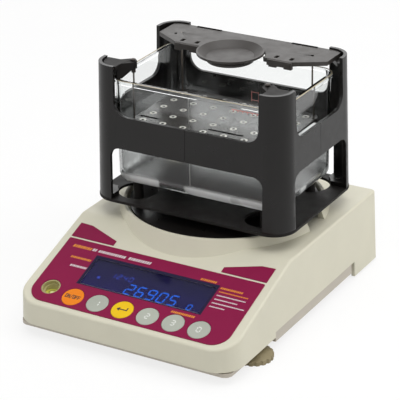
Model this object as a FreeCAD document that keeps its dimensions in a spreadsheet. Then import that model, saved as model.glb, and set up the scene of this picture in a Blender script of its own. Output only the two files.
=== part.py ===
import FreeCAD, Part
import math
import os
from types import SimpleNamespace

import Sketcher

# Counter-top tester that weighs a piece in air and in water.
# Frame: +X right, +Y to the back, +Z up; origin on the ground under the middle. Millimetres and degrees.

SIZES = {
    # housing
    "housing_width": 170.0,
    "housing_depth": 220.0,
    "deck_height": 55.0,
    "front_height": 24.9,
    "bend_in": 86.92,
    "side_draft": 2.3,
    "front_corner": 19.0,
    "rear_corner": 5.0,
    "bend_round": 16.0,
    "edge_round": 1.8,
    "cover_wall": 2.6,
    "skirt_low": 2.0,
    "front_low": 9.5,
    "side_low": 13.5,
    "skirt_in": 39.0,
    "side_in": 62.0,
    # bottom cover
    "floor_low": 6.0,
    "floor_thick": 2.6,
    "floor_corner": 6.0,
    "floor_gap": 1.0,
    "part_gap": 0.25,
    "band_inset": 0.7,
    "band_thick": 3.4,
    "band_notch": 4.0,
    "boss_radius": 4.2,
    "boss_top": 14.0,
    "boss_front_in_x": 29.0,
    "boss_rear_in_x": 25.0,
    "boss_front_in_y": 34.0,
    "boss_rear_in_y": 48.0,
    "screw_radius": 1.5,
    "screw_head": 2.8,
    "screw_head_tall": 1.8,
    "screw_bite": 8.0,
    "screw_clearance": 0.1,
    # collar round the pan
    "stage_in": 75.7,
    "collar_radius": 71.4,
    "collar_wall": 2.5,
    "collar_flare": 6.1,
    "collar_rise": 6.6,
    "collar_round": 0.75,
    "collar_notch": 21.7,
    # sloped panel
    "panel_margin": 5.2,
    "panel_side": 8.3,
    "panel_to_collar": 4.79,
    "panel_to_bend": 25.0,
    "panel_corner": 12.5,
    "panel_top_corner": 0.8,
    "sheet_thick": 0.5,
    "window_side": 28.3,
    "window_start": 22.3,
    "window_end": 10.5,
    "window_ledge": 1.6,
    "window_thick": 1.2,
    "display_deep": 6.5,
    "badge_gap": 1.8,
    "badge_shoulder_in": 9.9,
    "badge_outer_long": 13.6,
    "badge_inner_in": 34.2,
    "badge_inner_long": 4.4,
    # keys
    "key_radius": 7.8,
    "row_left_share": 0.2925,
    "level_to_key": 20.2,
    "key_pitch": 19.5,
    "key_along": 9.8,
    "key_gap": 0.2,
    "key_seat": 0.1,
    "key_proud": 0.1,
    "key_dome": 0.5,
    "key_flange": 1.0,
    "key_stem_radius": 2.0,
    "key_stem_long": 3.0,
    "key_travel": 0.5,
    "switch_half": 3.0,
    "switch_tall": 3.4,
    "switch_button": 1.5,
    "switch_button_tall": 1.0,
    "board_thick": 1.6,
    "key_board_half": 63.5,
    "key_board_start": 1.0,
    "key_board_long": 17.0,
    "key_boss_x": 60.0,
    "key_boss_along": 3.6,
    "key_boss_radius": 2.4,
    # level
    "level_along": 13.8,
    "level_radius": 6.7,
    "level_deep": 10.5,
    "level_flange": 1.4,
    "level_recess": 2.5,
    "level_wall": 0.8,
    "vial_back": 1.2,
    "vial_radius": 4.5,
    "vial_tall": 3.6,
    # boards inside
    "main_board_half": 50.0,
    "main_board_in": 38.0,
    "main_board_long": 66.0,
    "main_boss_in": 5.0,
    "main_boss_tall": 5.0,
    "chip_half": 7.0,
    "chip_tall": 1.8,
    # load cell
    "cell_half": 35.0,
    "cell_half_wide": 7.5,
    "cell_low": 16.0,
    "cell_tall": 22.0,
    "cell_eye": 7.0,
    "cell_eye_x": 8.0,
    "cell_slot": 1.6,
    "cell_block_long": 18.0,
    "cell_screw_in": 5.0,
    "spider_gap": 0.35,
    "spider_foot": 1.4,
    "spider_thick": 3.0,
    "spider_hub": 10.0,
    "spider_hole": 13.0,
    "stage_travel": 0.3,
    # pan and the plate on it
    "pan_radius": 67.0,
    "pan_rise": 5.2,
    "pan_thick": 1.8,
    "pan_cutout": 5.0,
    "pan_boss_wall": 2.0,
    "foot_ring_radius": 38.0,
    "foot_ring_wall": 3.0,
    "plate_rise": 6.3,
    "plate_thick": 2.0,
    "plate_lip": 1.4,
    "plate_hole": 14.0,
    "tank_post_radius": 3.6,
    "tank_post_in_x": 26.0,
    "tank_post_in_y": 21.4,
    # frame of four corners
    "frame_half_x": 76.5,
    "frame_half_y": 54.9,
    "frame_corner_round": 17.0,
    "frame_wall": 2.5,
    "frame_draft": 1.5,
    "plate_edge": 0.3,
    "frame_tall": 97.5,
    "frame_seam": 0.2,
    "band_rise": 39.0,
    "band_tall": 23.5,
    "post_wide": 20.5,
    "post_deep": 20.6,
    "post_wide_low": 17.1,
    "post_deep_low": 16.6,
    "upper_window_round": 10.0,
    "lower_window_round": 7.5,
    "gusset_thick": 3.0,
    "gusset_clearance": 0.8,
    "frame_screw_in": 10.1,
    # hanger that carries the basket in the water
    "hanger_drop": 4.0,
    "hanger_thick": 3.0,
    "hanger_gap": 0.6,
    "hanger_side_gap": 5.0,
    "plate_front_in": 41.3,
    "plate_bar_in": 30.5,
    "plate_bar_long": 19.0,
    "plate_side_deep": 28.9,
    "plate_lug": 2.4,
    "lug_long": 6.0,
    "slot_long": 2.6,
    "slot_wide": 4.4,
    "slot_in": 37.9,
    "arm_wide": 9.0,
    "arm_deep": 11.0,
    "arm_tip_deep": 5.5,
    "arm_knob": 2.6,
    "arm_knee": 9.0,
    "rod_in_x": 24.5,
    "rod_in_y": 22.5,
    "rod_long": 44.0,
    "rod_radius": 0.6,
    "rod_clearance": 0.03,
    "ferrule_radius": 1.5,
    "ferrule_long": 3.0,
    "rod_foot_tall": 1.0,
    "tray_edge_x": 4.0,
    "tray_edge_y": 4.1,
    "tray_thick": 1.6,
    "tray_corner": 8.0,
    "tray_hole": 2.0,
    "tray_border_x": 8.0,
    "tray_border_y": 8.5,
    # dish on the top
    "dish_in": 44.5,
    "dish_radius": 23.6,
    "dish_wall": 1.2,
    "dish_deep": 5.1,
    "dish_rim": 1.6,
    "dish_clearance": 0.4,
    "cradle_radius": 16.5,
    "cradle_wide": 5.5,
    "cradle_tall": 1.8,
    "web_half": 12.0,
    "web_bite": 5.0,
    # tank
    "tank_gap_x": 11.0,
    "tank_gap_y": 11.3,
    "tank_corner": 12.0,
    "tank_rise": 7.6,
    "tank_tall": 76.9,
    "tank_wall": 2.2,
    "tank_lip": 0.8,
    "tank_lip_tall": 2.6,
    "tank_draft": 0.8,
    "tank_floor_round": 7.0,
    "tank_floor": 3.0,
    # feet
    "foot_in_x": 9.0,
    "foot_in_y": 47.2,
    "wheel_radius": 13.4,
    "wheel_rim": 3.0,
    "wheel_cone": 3.0,
    "wheel_hub": 4.6,
    "wheel_scallop": 1.3,
    "scallop_out": 0.43,
    "wheel_recess": 15.5,
    "recess_roof": 10.6,
    "recess_wall": 1.8,
    "stud_radius": 3.0,
    "stud_clearance": 0.05,
    "stud_head": 5.0,
    "stud_head_tall": 2.0,
    "stud_head_low": 0.6,
    "stud_top": 26.0,
    "nut_across": 10.0,
    "nut_tall": 7.0,
    "rear_foot_in_x": 15.0,
    "rear_foot_in_y": 18.0,
    "rear_foot_radius": 8.0,
    # inlets in the rear wall
    "inlet_z": 24.0,
    "jack_x": -50.0,
    "jack_bore": 3.2,
    "jack_pin": 1.0,
    "jack_barrel": 5.5,
    "jack_nut": 7.5,
    "jack_long": 12.0,
    "port_x": 40.0,
    "port_half": 8.3,
    "port_tall": 8.4,
    "port_flange_half": 15.4,
    "port_flange_tall": 12.5,
    "port_deep": 9.0,
    "port_shell": 0.8,
    "port_mouth": 4.5,
}

SCALLOPS = 18
KEY_NAMES = ("key_power", "key_mode", "key_enter", "key_a", "key_b", "key_zero")
ALL_ROUND = 360

doc = FreeCAD.newDocument("GoldTester")
sheet = doc.addObject("Spreadsheet::Sheet", "Sizes")
for row, (alias, number) in enumerate(SIZES.items(), start=1):
    sheet.set(f"A{row}", alias)
    sheet.set(f"B{row}", str(number))
    sheet.setAlias(f"B{row}", alias)
doc.recompute()


class Size:
    """A length or an angle: its value, and the expression that works it out from the sheet."""

    def __init__(self, text, value):
        self.text = text
        self.value = value

    def __add__(self, other):
        other = size(other)
        return Size(f"({self.text} + {other.text})", self.value + other.value)

    def __sub__(self, other):
        other = size(other)
        return Size(f"({self.text} - {other.text})", self.value - other.value)

    def __mul__(self, other):
        other = size(other)
        return Size(f"({self.text} * {other.text})", self.value * other.value)

    def __truediv__(self, other):
        other = size(other)
        return Size(f"({self.text} / {other.text})", self.value / other.value)

    def __neg__(self):
        return Size(f"(0 - {self.text})", -self.value)

    __radd__ = __add__
    __rmul__ = __mul__

    def __rsub__(self, other):
        return size(other) - self


def size(number):
    """A plain number as a Size; a Size stays as it is."""
    if isinstance(number, Size):
        return number
    text = f"{number}" if number >= 0 else f"(0 - {-number})"
    return Size(text, float(number))


def sine(angle):
    return Size(f"sin({angle.text})", math.sin(math.radians(angle.value)))


def cosine(angle):
    return Size(f"cos({angle.text})", math.cos(math.radians(angle.value)))


def tangent(angle):
    return Size(f"tan({angle.text})", math.tan(math.radians(angle.value)))


def angle_of(rise, run):
    return Size(f"(atan2({rise.text}; {run.text}) / 1deg)", math.degrees(math.atan2(rise.value, run.value)))


def lesser(first, second):
    return Size(f"min({first.text}; {second.text})", min(first.value, second.value))


s = SimpleNamespace(**{name: Size(f"Sizes.{name}", value) for name, value in SIZES.items()})
ORIGIN = size(0)
HEX_TURN = size(30)
CHAMFER_TURN = size(45)
FAR_SIZE = size(400)
TRAY_COLUMNS = (-3, -2, -1, 0, 1, 2, 3)
TRAY_ROWS = (-2, -1, 0, 1, 2)
EDGE_NEAR = 0.1
RIM_NEAR = 0.3

# the slope runs from the front edge up to the bend of the deck
SLOPE_ANGLE = angle_of(s.deck_height - s.front_height, s.bend_in)

# places worked out from the sizes: in the housing's plan
HALF_WIDTH = s.housing_width / 2
HALF_DEPTH = s.housing_depth / 2
SKIRT_START = HALF_DEPTH - s.skirt_in
SIDE_START = s.side_in - HALF_DEPTH
STAGE_Y = HALF_DEPTH - s.stage_in
PANEL_HALF = HALF_WIDTH - s.panel_side
WINDOW_HALF = PANEL_HALF - s.window_side
MAIN_BOARD_FRONT = s.main_board_in - HALF_DEPTH
FOOT_X = HALF_WIDTH - s.foot_in_x
FOOT_Y = s.foot_in_y - HALF_DEPTH

# the row of the level and the keys: its spare length is shared between its two ends
KEY_ROW_LONG = s.key_pitch * (len(KEY_NAMES) - 1)
ROW_SPARE = PANEL_HALF * 2 - s.level_radius - s.level_to_key - KEY_ROW_LONG - s.key_radius
LEVEL_X = ROW_SPARE * s.row_left_share + s.level_radius - PANEL_HALF
KEY_FIRST_X = LEVEL_X + s.level_to_key
KEY_ROW_X = KEY_FIRST_X + KEY_ROW_LONG / 2

# heights, from the deck up
COLLAR_TOP = s.deck_height + s.collar_rise
PAN_TOP = s.deck_height + s.pan_rise
PAN_LOW = PAN_TOP - s.pan_thick
PLATE_LOW = PAN_TOP + s.plate_rise
PLATE_TOP = PLATE_LOW + s.plate_thick
TANK_LOW = PLATE_TOP + s.tank_rise
TANK_RIM = TANK_LOW + s.tank_tall
BAND_LOW = PLATE_TOP + s.band_rise
BAND_HIGH = BAND_LOW + s.band_tall
FRAME_TOP = PLATE_TOP + s.frame_tall
HANGER_SEAT = FRAME_TOP - s.hanger_drop
HANGER_TOP = HANGER_SEAT + s.hanger_thick
TRAY_TOP = HANGER_TOP - s.rod_long
TRAY_LOW = TRAY_TOP - s.tray_thick

# distances from the stage's middle, in from the frame's outside
FRONT_WINDOW = s.frame_half_x - s.post_wide
SIDE_WINDOW = s.frame_half_y - s.post_deep
FRONT_WINDOW_LOW = s.frame_half_x - s.post_wide_low
SIDE_WINDOW_LOW = s.frame_half_y - s.post_deep_low
TANK_POST_X = s.frame_half_x - s.tank_post_in_x
TANK_POST_Y = s.frame_half_y - s.tank_post_in_y
TANK_HALF_X = s.frame_half_x - s.tank_gap_x
TANK_HALF_Y = s.frame_half_y - s.tank_gap_y
ROD_X = s.frame_half_x - s.rod_in_x
ROD_Y = s.frame_half_y - s.rod_in_y
TRAY_HALF_X = ROD_X + s.tray_edge_x
TRAY_HALF_Y = ROD_Y + s.tray_edge_y
TRAY_PITCH_X = (TRAY_HALF_X - s.tray_border_x) / TRAY_COLUMNS[-1]
TRAY_PITCH_Y = (TRAY_HALF_Y - s.tray_border_y) / TRAY_ROWS[-1]
PLATE_BAR_HALF = s.frame_half_x - s.plate_bar_in
PLATE_BAR_INNER = PLATE_BAR_HALF - s.plate_bar_long
PLATE_FRONT = s.frame_half_y - s.plate_front_in
DISH_Y = STAGE_Y + s.frame_half_y - s.dish_in


# ---------------------------------------------------------------- document helpers

def bind(item, prop, amount):
    item.setExpression(prop, size(amount).text)


def place(item, x=0, y=0, z=0):
    for axis, amount in zip("xyz", (x, y, z)):
        bind(item, f"Placement.Base.{axis}", amount)
    return item


def turn(item, axis, angle):
    item.Placement = FreeCAD.Placement(item.Placement.Base, FreeCAD.Rotation(FreeCAD.Vector(*axis), 1))
    bind(item, "Placement.Rotation.Angle", angle)
    return item


def box(name, x, y, z):
    """A block between two limits on each axis, each given as (low, high)."""
    item = doc.addObject("Part::Box", name)
    for prop, (low, high) in zip(("Length", "Width", "Height"), (x, y, z)):
        bind(item, prop, size(high) - low)
    return place(item, x[0], y[0], z[0])


def rod(name, x, y, z, radius):
    """An upright cylinder between two heights."""
    item = doc.addObject("Part::Cylinder", name)
    bind(item, "Radius", radius)
    bind(item, "Height", z[1] - z[0])
    return place(item, x, y, z[0])


def prism(name, x, y, z, across_flats):
    """An upright hexagonal prism with two of its flats facing along X."""
    item = doc.addObject("Part::Prism", name)
    item.Polygon = 6
    bind(item, "Circumradius", across_flats / 2 / cosine(HEX_TURN))
    bind(item, "Height", z[1] - z[0])
    turn(item, (0, 0, 1), HEX_TURN)
    return place(item, x, y, z[0])


def rod_along_y(name, x, z, y, radius):
    """A cylinder that lies along Y between two depths."""
    item = doc.addObject("Part::Cylinder", name)
    bind(item, "Radius", radius)
    bind(item, "Height", y[1] - y[0])
    item.Placement = FreeCAD.Placement(FreeCAD.Vector(), FreeCAD.Rotation(FreeCAD.Vector(1, 0, 0), -90))
    return place(item, x, y[0], z)


def fuse(name, *items):
    item = doc.addObject("Part::MultiFuse", name)
    item.Shapes = list(items)
    item.Refine = True
    return item


def cut(name, base, *tools):
    item = doc.addObject("Part::Cut", name)
    item.Base = base
    item.Tool = tools[0] if len(tools) == 1 else fuse(f"{name}_tools", *tools)
    item.Refine = True
    return item


def common(name, first, second):
    item = doc.addObject("Part::Common", name)
    item.Base = first
    item.Tool = second
    item.Refine = True
    return item


def group(name, *items):
    """Separate solids kept side by side in one node."""
    item = doc.addObject("Part::Compound", name)
    item.Links = list(items)
    return item


# ---------------------------------------------------------------- sketches and bodies

def new_body(name):
    return doc.addObject("PartDesign::Body", name)


def new_sketch(body, role, name, lift=ORIGIN):
    """A sketch on one of the body's own origin planes, moved along its normal by lift."""
    sketch = body.newObject("Sketcher::SketchObject", name)
    plane = next(item for item in body.Origin.OriginFeatures if item.Role == role)
    sketch.AttachmentSupport = (plane, "")
    sketch.MapMode = "FlatFace"
    bind(sketch, "AttachmentOffset.Base.z", lift)
    return sketch


def rule(sketch, kind, where, amount):
    index = sketch.addConstraint(Sketcher.Constraint(kind, *where, amount.value))
    sketch.setExpression(f"Constraints[{index}]", amount.text)


def pin(sketch, geometry, point, x, y):
    """Fix a point of the sketch at x, y."""
    for kind, amount, axis in (("DistanceX", size(x), -2), ("DistanceY", size(y), -1)):
        if amount.text == ORIGIN.text:
            sketch.addConstraint(Sketcher.Constraint("PointOnObject", geometry, point, axis))
        else:
            rule(sketch, kind, (-1, 1, geometry, point), amount)


def polygon(sketch, points):
    points = [(size(x), size(y)) for x, y in points]
    corners = [FreeCAD.Vector(x.value, y.value, 0) for x, y in points]
    ends = corners[1:] + corners[:1]
    lines = [sketch.addGeometry(Part.LineSegment(a, b), False) for a, b in zip(corners, ends)]
    for line, after in zip(lines, lines[1:] + lines[:1]):
        sketch.addConstraint(Sketcher.Constraint("Coincident", line, 2, after, 1))
    for line, (x, y) in zip(lines, points):
        pin(sketch, line, 1, x, y)


def circle(sketch, x, y, radius):
    centre = FreeCAD.Vector(size(x).value, size(y).value, 0)
    ring = sketch.addGeometry(Part.Circle(centre, FreeCAD.Vector(0, 0, 1), radius.value), False)
    rule(sketch, "Radius", (ring,), radius)
    pin(sketch, ring, 3, x, y)


def rounded_rectangle(sketch, x, y, radii):
    """A rectangle between the limits x and y; radii: front left, front right, rear right, rear left."""
    (x0, x1), (y0, y1) = [(size(low), size(high)) for low, high in (x, y)]
    signs = ((1, 1), (-1, 1), (-1, -1), (1, -1))
    corners = ((x0, y0), (x1, y0), (x1, y1), (x0, y1))
    arcs = []
    for index, ((cx, cy), (sx, sy), radius) in enumerate(zip(corners, signs, radii)):
        middle = FreeCAD.Vector(cx.value + sx * radius.value, cy.value + sy * radius.value, 0)
        start = math.pi + index * math.pi / 2
        ring = Part.Circle(middle, FreeCAD.Vector(0, 0, 1), radius.value)
        arcs.append(sketch.addGeometry(Part.ArcOfCircle(ring, start, start + math.pi / 2), False))
    lines = []
    for index, arc in enumerate(arcs):
        begin = sketch.getPoint(arc, 2)
        end = sketch.getPoint(arcs[(index + 1) % 4], 1)
        lines.append(sketch.addGeometry(Part.LineSegment(begin, end), False))
    for index, line in enumerate(lines):
        sketch.addConstraint(Sketcher.Constraint("Tangent", arcs[index], 2, line, 1))
        sketch.addConstraint(Sketcher.Constraint("Tangent", line, 2, arcs[(index + 1) % 4], 1))
        kind = "Vertical" if index % 2 else "Horizontal"
        sketch.addConstraint(Sketcher.Constraint(kind, line))
    for arc, radius in zip(arcs, radii):
        rule(sketch, "Radius", (arc,), radius)
    for line, kind, amount in zip(lines, ("DistanceY", "DistanceX") * 2, (y0, x1, y1, x0)):
        rule(sketch, kind, (-1, 1, line, 1), amount)


def pad(body, sketch, length, taper=None):
    feature = body.newObject("PartDesign::Pad", f"{sketch.Name}_pad")
    feature.Profile = sketch
    bind(feature, "Length", length)
    if taper is not None:
        bind(feature, "TaperAngle", taper)
    sketch.Visibility = False
    return feature


def pocket(body, sketch, length):
    feature = body.newObject("PartDesign::Pocket", f"{sketch.Name}_pocket")
    feature.Profile = sketch
    bind(feature, "Length", length)
    return feature


def block(name, x, y, z, radii, taper=None):
    """A rounded block: its outline in plan is padded from z[0] to z[1]."""
    body = new_body(name)
    sketch = new_sketch(body, "XY_Plane", f"{name}_outline", z[0])
    rounded_rectangle(sketch, x, y, radii)
    pad(body, sketch, z[1] - z[0], taper)
    return body


def centred_block(name, half_x, half_y, y, z, radius, taper=None):
    return block(name, (-half_x, half_x), (y - half_y, y + half_y), z, (radius,) * 4, taper)


def sheet_body(name, points, low, thick):
    """A flat piece: a polygon in plan, padded up from low."""
    body = new_body(name)
    sketch = new_sketch(body, "XY_Plane", f"{name}_outline", low)
    polygon(sketch, points)
    pad(body, sketch, thick)
    return body


def lathe(name, points):
    """A turned piece about its own Z axis: points are (radius, height)."""
    body = new_body(name)
    sketch = new_sketch(body, "XZ_Plane", f"{name}_profile")
    polygon(sketch, points)
    feature = body.newObject("PartDesign::Revolution", f"{name}_turned")
    feature.Profile = sketch
    feature.ReferenceAxis = (sketch, ["V_Axis"])
    feature.Angle = ALL_ROUND
    return body


def round_edges(body, radius, chooser, name):
    """Fillet the edges of the body's tip that chooser picks."""
    doc.recompute()
    tip = body.Tip
    names = [f"Edge{i}" for i, edge in enumerate(tip.Shape.Edges, start=1) if chooser(edge.BoundBox)]
    feature = body.newObject("PartDesign::Fillet", name)
    feature.Base = (tip, names)
    bind(feature, "Radius", radius)
    return feature


# ---------------------------------------------------------------- the sloped panel's own frame

SLOPE_Y = s.panel_margin * cosine(SLOPE_ANGLE) - HALF_DEPTH
SLOPE_Z = s.front_height + s.panel_margin * sine(SLOPE_ANGLE)
BEND_Y = s.bend_in - HALF_DEPTH
COLLAR_ALONG = (STAGE_Y - s.collar_radius - s.collar_flare - SLOPE_Y) / cosine(SLOPE_ANGLE)
BEND_ALONG = (BEND_Y - SLOPE_Y) / cosine(SLOPE_ANGLE)
PANEL_LONG = lesser(COLLAR_ALONG - s.panel_to_collar, BEND_ALONG - s.panel_to_bend)
WINDOW_ALONG = (s.window_start, PANEL_LONG - s.window_end)


def lay(item, x, along, out):
    """Put an item on the slope: x across, along up the slope from the panel's edge, out from its face."""
    turn(item, (1, 0, 0), SLOPE_ANGLE)
    y = SLOPE_Y + along * cosine(SLOPE_ANGLE) - out * sine(SLOPE_ANGLE)
    z = SLOPE_Z + along * sine(SLOPE_ANGLE) + out * cosine(SLOPE_ANGLE)
    return place(item, x, y, z)


def slope_box(name, x, along, out):
    item = box(name, x, along, out)
    return lay(item, x[0], along[0], out[0])


def slope_rod(name, x, along, out, radius):
    item = rod(name, x, along, out, radius)
    return lay(item, x, along, out[0])


def slope_body(body):
    """Move a body that was drawn flat onto the slope."""
    return lay(body, ORIGIN, ORIGIN, ORIGIN)


# ---------------------------------------------------------------- the nodes

NODES = []


def node(item, label):
    """Keep an item as one of the model's pieces under its own label."""
    item.Label = label
    NODES.append(item)
    return item


SIDES = (("left", -1), ("right", 1))
FRAME_CORNERS = (("fl", -1, -1), ("fr", 1, -1), ("rl", -1, 1), ("rr", 1, 1))
MARGIN = s.part_gap * 20


def stage_spots(x, y):
    """The four places round the stage's middle, at x and y from it."""
    return [(label, sx * x, STAGE_Y + sy * y) for label, sx, sy in FRAME_CORNERS]


def rods_at(name, spots, z, radius):
    return [rod(f"{name}_{label}", x, y, z, radius) for label, x, y in spots]


def screws(name, spots, z_head, z_tip, clearance=ORIGIN, longer=ORIGIN):
    """Upright screws or, with a clearance, the tools for their holes; the head is at the z_head pair."""
    made = []
    for label, x, y in spots:
        head = rod(f"{name}_head_{label}", x, y, z_head, s.screw_head + clearance)
        upward = z_tip.value > z_head[1].value
        shank_z = (z_head[1], z_tip + longer) if upward else (z_tip - longer, z_head[0])
        shank = rod(f"{name}_shank_{label}", x, y, shank_z, s.screw_radius + clearance)
        made.append(fuse(f"{name}_{label}", head, shank))
    return made


# ---------------------------------------------------------------- housing

def slope_height(y, inset=ORIGIN):
    """Height of the sloped face, moved in by inset, at depth y."""
    return s.front_height - inset / cosine(SLOPE_ANGLE) + (y + HALF_DEPTH) * tangent(SLOPE_ANGLE)


def housing(name, inset):
    """The cover's outside, or the room inside it when moved in by inset."""
    top = s.deck_height - inset
    corners = (s.front_corner - inset,) * 2 + (s.rear_corner - inset,) * 2
    x = (inset - HALF_WIDTH, HALF_WIDTH - inset)
    y = (inset - HALF_DEPTH, HALF_DEPTH - inset)
    body = block(name, x, y, (s.skirt_low, top), corners, -s.side_draft)
    profile = new_sketch(body, "YZ_Plane", f"{name}_slope", HALF_WIDTH + MARGIN)
    front = -HALF_DEPTH - MARGIN
    high = top + MARGIN
    back = (high - slope_height(-HALF_DEPTH, inset)) / tangent(SLOPE_ANGLE) - HALF_DEPTH
    polygon(profile, [(front, slope_height(front, inset)), (back, high), (front, high)])
    pocket(body, profile, s.housing_width + 2 * MARGIN)
    return body


def cover_outside():
    body = housing("housing_outside", ORIGIN)
    profile = new_sketch(body, "YZ_Plane", "housing_lower_edge", HALF_WIDTH + MARGIN)
    front = -HALF_DEPTH - MARGIN
    low = s.skirt_low - MARGIN
    polygon(profile, [(front, low), (SKIRT_START, low), (SKIRT_START, s.side_low),
                      (SIDE_START, s.side_low), (SIDE_START, s.front_low), (front, s.front_low)])
    pocket(body, profile, s.housing_width + 2 * MARGIN)

    def is_bend(room):
        return room.XLength > HALF_WIDTH.value and abs(room.YMin - BEND_Y.value) < EDGE_NEAR

    def is_rim(room):
        middle = (room.YMin + room.YMax) / 2
        roof = min(s.deck_height.value, slope_height(size(middle)).value)
        across = room.XLength > HALF_WIDTH.value
        inner = across and abs(middle) < HALF_DEPTH.value - s.front_corner.value
        return (room.ZMin + room.ZMax) / 2 > roof - RIM_NEAR and not inner

    round_edges(body, s.bend_round, is_bend, "housing_bend")
    round_edges(body, s.edge_round, is_rim, "housing_rim")
    return body


def key_spots():
    return [(name, KEY_FIRST_X + place_in_row * s.key_pitch) for place_in_row, name in enumerate(KEY_NAMES)]


KEY_FLANGE_TOP = -s.cover_wall - s.key_seat
KEY_FLANGE_LOW = KEY_FLANGE_TOP - s.key_flange
KEY_STEM_LOW = KEY_FLANGE_LOW - s.key_stem_long
SWITCH_TOP = KEY_STEM_LOW - s.key_travel - s.key_seat
SWITCH_BODY_TOP = SWITCH_TOP - s.switch_button_tall
KEY_BOARD_TOP = SWITCH_BODY_TOP - s.switch_tall
KEY_BOARD_LOW = KEY_BOARD_TOP - s.board_thick
WELL_FLOOR_LOW = s.deck_height - s.cover_wall
SPIDER_LOW = s.cell_low + s.cell_tall + s.spider_gap
SPIDER_ARM_LOW = SPIDER_LOW + s.spider_foot
SPIDER_ARM_TOP = SPIDER_ARM_LOW + s.spider_thick
FLOOR_TOP = s.floor_low + s.floor_thick
COVER_ROWS = (("front", HALF_WIDTH - s.boss_front_in_x, s.boss_front_in_y - HALF_DEPTH),
              ("rear", HALF_WIDTH - s.boss_rear_in_x, HALF_DEPTH - s.boss_rear_in_y))
COVER_SPOTS = [(f"{row}_{side}", sign * x, y) for row, x, y in COVER_ROWS for side, sign in SIDES]
COVER_HEAD = (s.floor_low + s.part_gap, s.floor_low + s.part_gap + s.screw_head_tall)
COVER_TIP = s.boss_top + s.screw_bite


def collar():
    """The flared wall about the pan, with the well's floor and a skirt that reaches the slope in front."""
    under = s.collar_radius - s.cover_wall
    foot = s.collar_radius + s.collar_flare
    low = lesser(slope_height(STAGE_Y - foot), s.deck_height - s.part_gap) - s.cover_wall
    body = lathe("collar", [
        (0, WELL_FLOOR_LOW), (under, WELL_FLOOR_LOW), (foot - s.cover_wall, low), (foot, low),
        (s.collar_radius, COLLAR_TOP), (s.collar_radius - s.collar_wall, COLLAR_TOP),
        (s.collar_radius - s.collar_wall, s.deck_height), (0, s.deck_height)])
    round_edges(body, s.collar_round, lambda room: room.ZMin > COLLAR_TOP.value - EDGE_NEAR, "collar_rim")
    return place(body, 0, STAGE_Y, 0)


def key_bosses(name, radius, out):
    return [slope_rod(f"{name}_{side}", KEY_ROW_X + sign * s.key_boss_x, s.key_boss_along, out, radius)
            for side, sign in SIDES]


def top_cover():
    outside = cover_outside()
    inside = housing("housing_inside", s.cover_wall)
    under_well = rod("under_well", 0, STAGE_Y, (s.deck_height - s.cover_wall * 2, COLLAR_TOP + MARGIN),
                     s.collar_radius - s.cover_wall)
    shell = cut("cover_shell", outside, inside, under_well)
    posts_z = (s.boss_top, s.deck_height)
    posts = fuse("cover_posts", *rods_at("cover_post", COVER_SPOTS, posts_z, s.boss_radius))
    posts = common("cover_posts_inside", posts, outside)
    bosses = key_bosses("key_boss", s.key_boss_radius, (KEY_BOARD_TOP, -s.cover_wall / 2))
    whole = fuse("cover_whole", shell, collar(), posts, *bosses)
    through = (-s.cover_wall - MARGIN, MARGIN)
    ledge = s.window_ledge
    half = WINDOW_HALF
    notch = (STAGE_Y - s.collar_notch / 2, STAGE_Y + s.collar_notch / 2)
    wide = s.collar_radius + s.collar_flare + MARGIN
    rear = (HALF_DEPTH - s.cover_wall * 2, HALF_DEPTH + MARGIN)
    port = s.port_half + s.part_gap
    port_z = (s.inlet_z - s.port_tall / 2 - s.part_gap, s.inlet_z + s.port_tall / 2 + s.part_gap)
    tools = [
        slope_box("display_opening", (ledge - half, half - ledge),
                  (WINDOW_ALONG[0] + ledge, WINDOW_ALONG[1] - ledge), through),
        slope_box("window_seat", (-half, half), WINDOW_ALONG, (s.sheet_thick - s.window_thick, MARGIN)),
        slope_rod("level_opening", LEVEL_X, s.level_along, through, s.level_radius + s.part_gap),
        box("collar_notches", (-wide, wide), notch, (s.deck_height, COLLAR_TOP + MARGIN)),
        rod("spider_opening", 0, STAGE_Y, (WELL_FLOOR_LOW - MARGIN, s.deck_height + MARGIN), s.spider_hole),
        rod_along_y("jack_opening", s.jack_x, s.inlet_z, rear, s.jack_barrel + s.screw_clearance),
        box("port_opening", (s.port_x - port, s.port_x + port), rear, port_z),
        *[slope_rod(f"{name}_opening", x, s.key_along, through, s.key_radius + s.key_gap)
          for name, x in key_spots()],
        *key_bosses("key_boss_bore", s.screw_radius + s.screw_clearance,
                    (KEY_BOARD_TOP - MARGIN, KEY_BOARD_TOP + s.screw_bite / 2)),
        *rods_at("cover_post_bore", COVER_SPOTS, (s.boss_top - MARGIN, COVER_TIP + s.part_gap),
                 s.screw_radius + s.screw_clearance),
    ]
    node(cut("top_cover_body", whole, *tools), "top_cover")


# ---------------------------------------------------------------- sheets on the slope

def panel_overlay():
    body = new_body("overlay")
    sketch = new_sketch(body, "XY_Plane", "overlay_outline")
    sharp = s.panel_top_corner
    rounded_rectangle(sketch, (-PANEL_HALF, PANEL_HALF), (ORIGIN, PANEL_LONG),
                      (s.panel_corner, s.panel_corner, sharp, sharp))
    rounded_rectangle(sketch, (-WINDOW_HALF, WINDOW_HALF), WINDOW_ALONG, (sharp,) * 4)
    for _, x in key_spots():
        circle(sketch, x, s.key_along, s.key_radius + s.key_gap)
    circle(sketch, LEVEL_X, s.level_along, s.level_radius + s.key_gap)
    pad(body, sketch, s.sheet_thick)
    node(slope_body(body), "panel_overlay")


def badges():
    for side, sign in SIDES:
        start = PANEL_LONG + s.badge_gap
        points = [(sign * PANEL_HALF, start), (sign * PANEL_HALF, start + s.badge_outer_long),
                  (sign * (PANEL_HALF - s.badge_shoulder_in), start + s.badge_outer_long - s.part_gap * 2),
                  (sign * (PANEL_HALF - s.badge_inner_in), start + s.badge_inner_long),
                  (sign * (PANEL_HALF - s.badge_inner_in), start)]
        body = sheet_body(f"badge_{side}_sheet", points, ORIGIN, s.sheet_thick)
        node(slope_body(body), f"badge_{side}")


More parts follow.
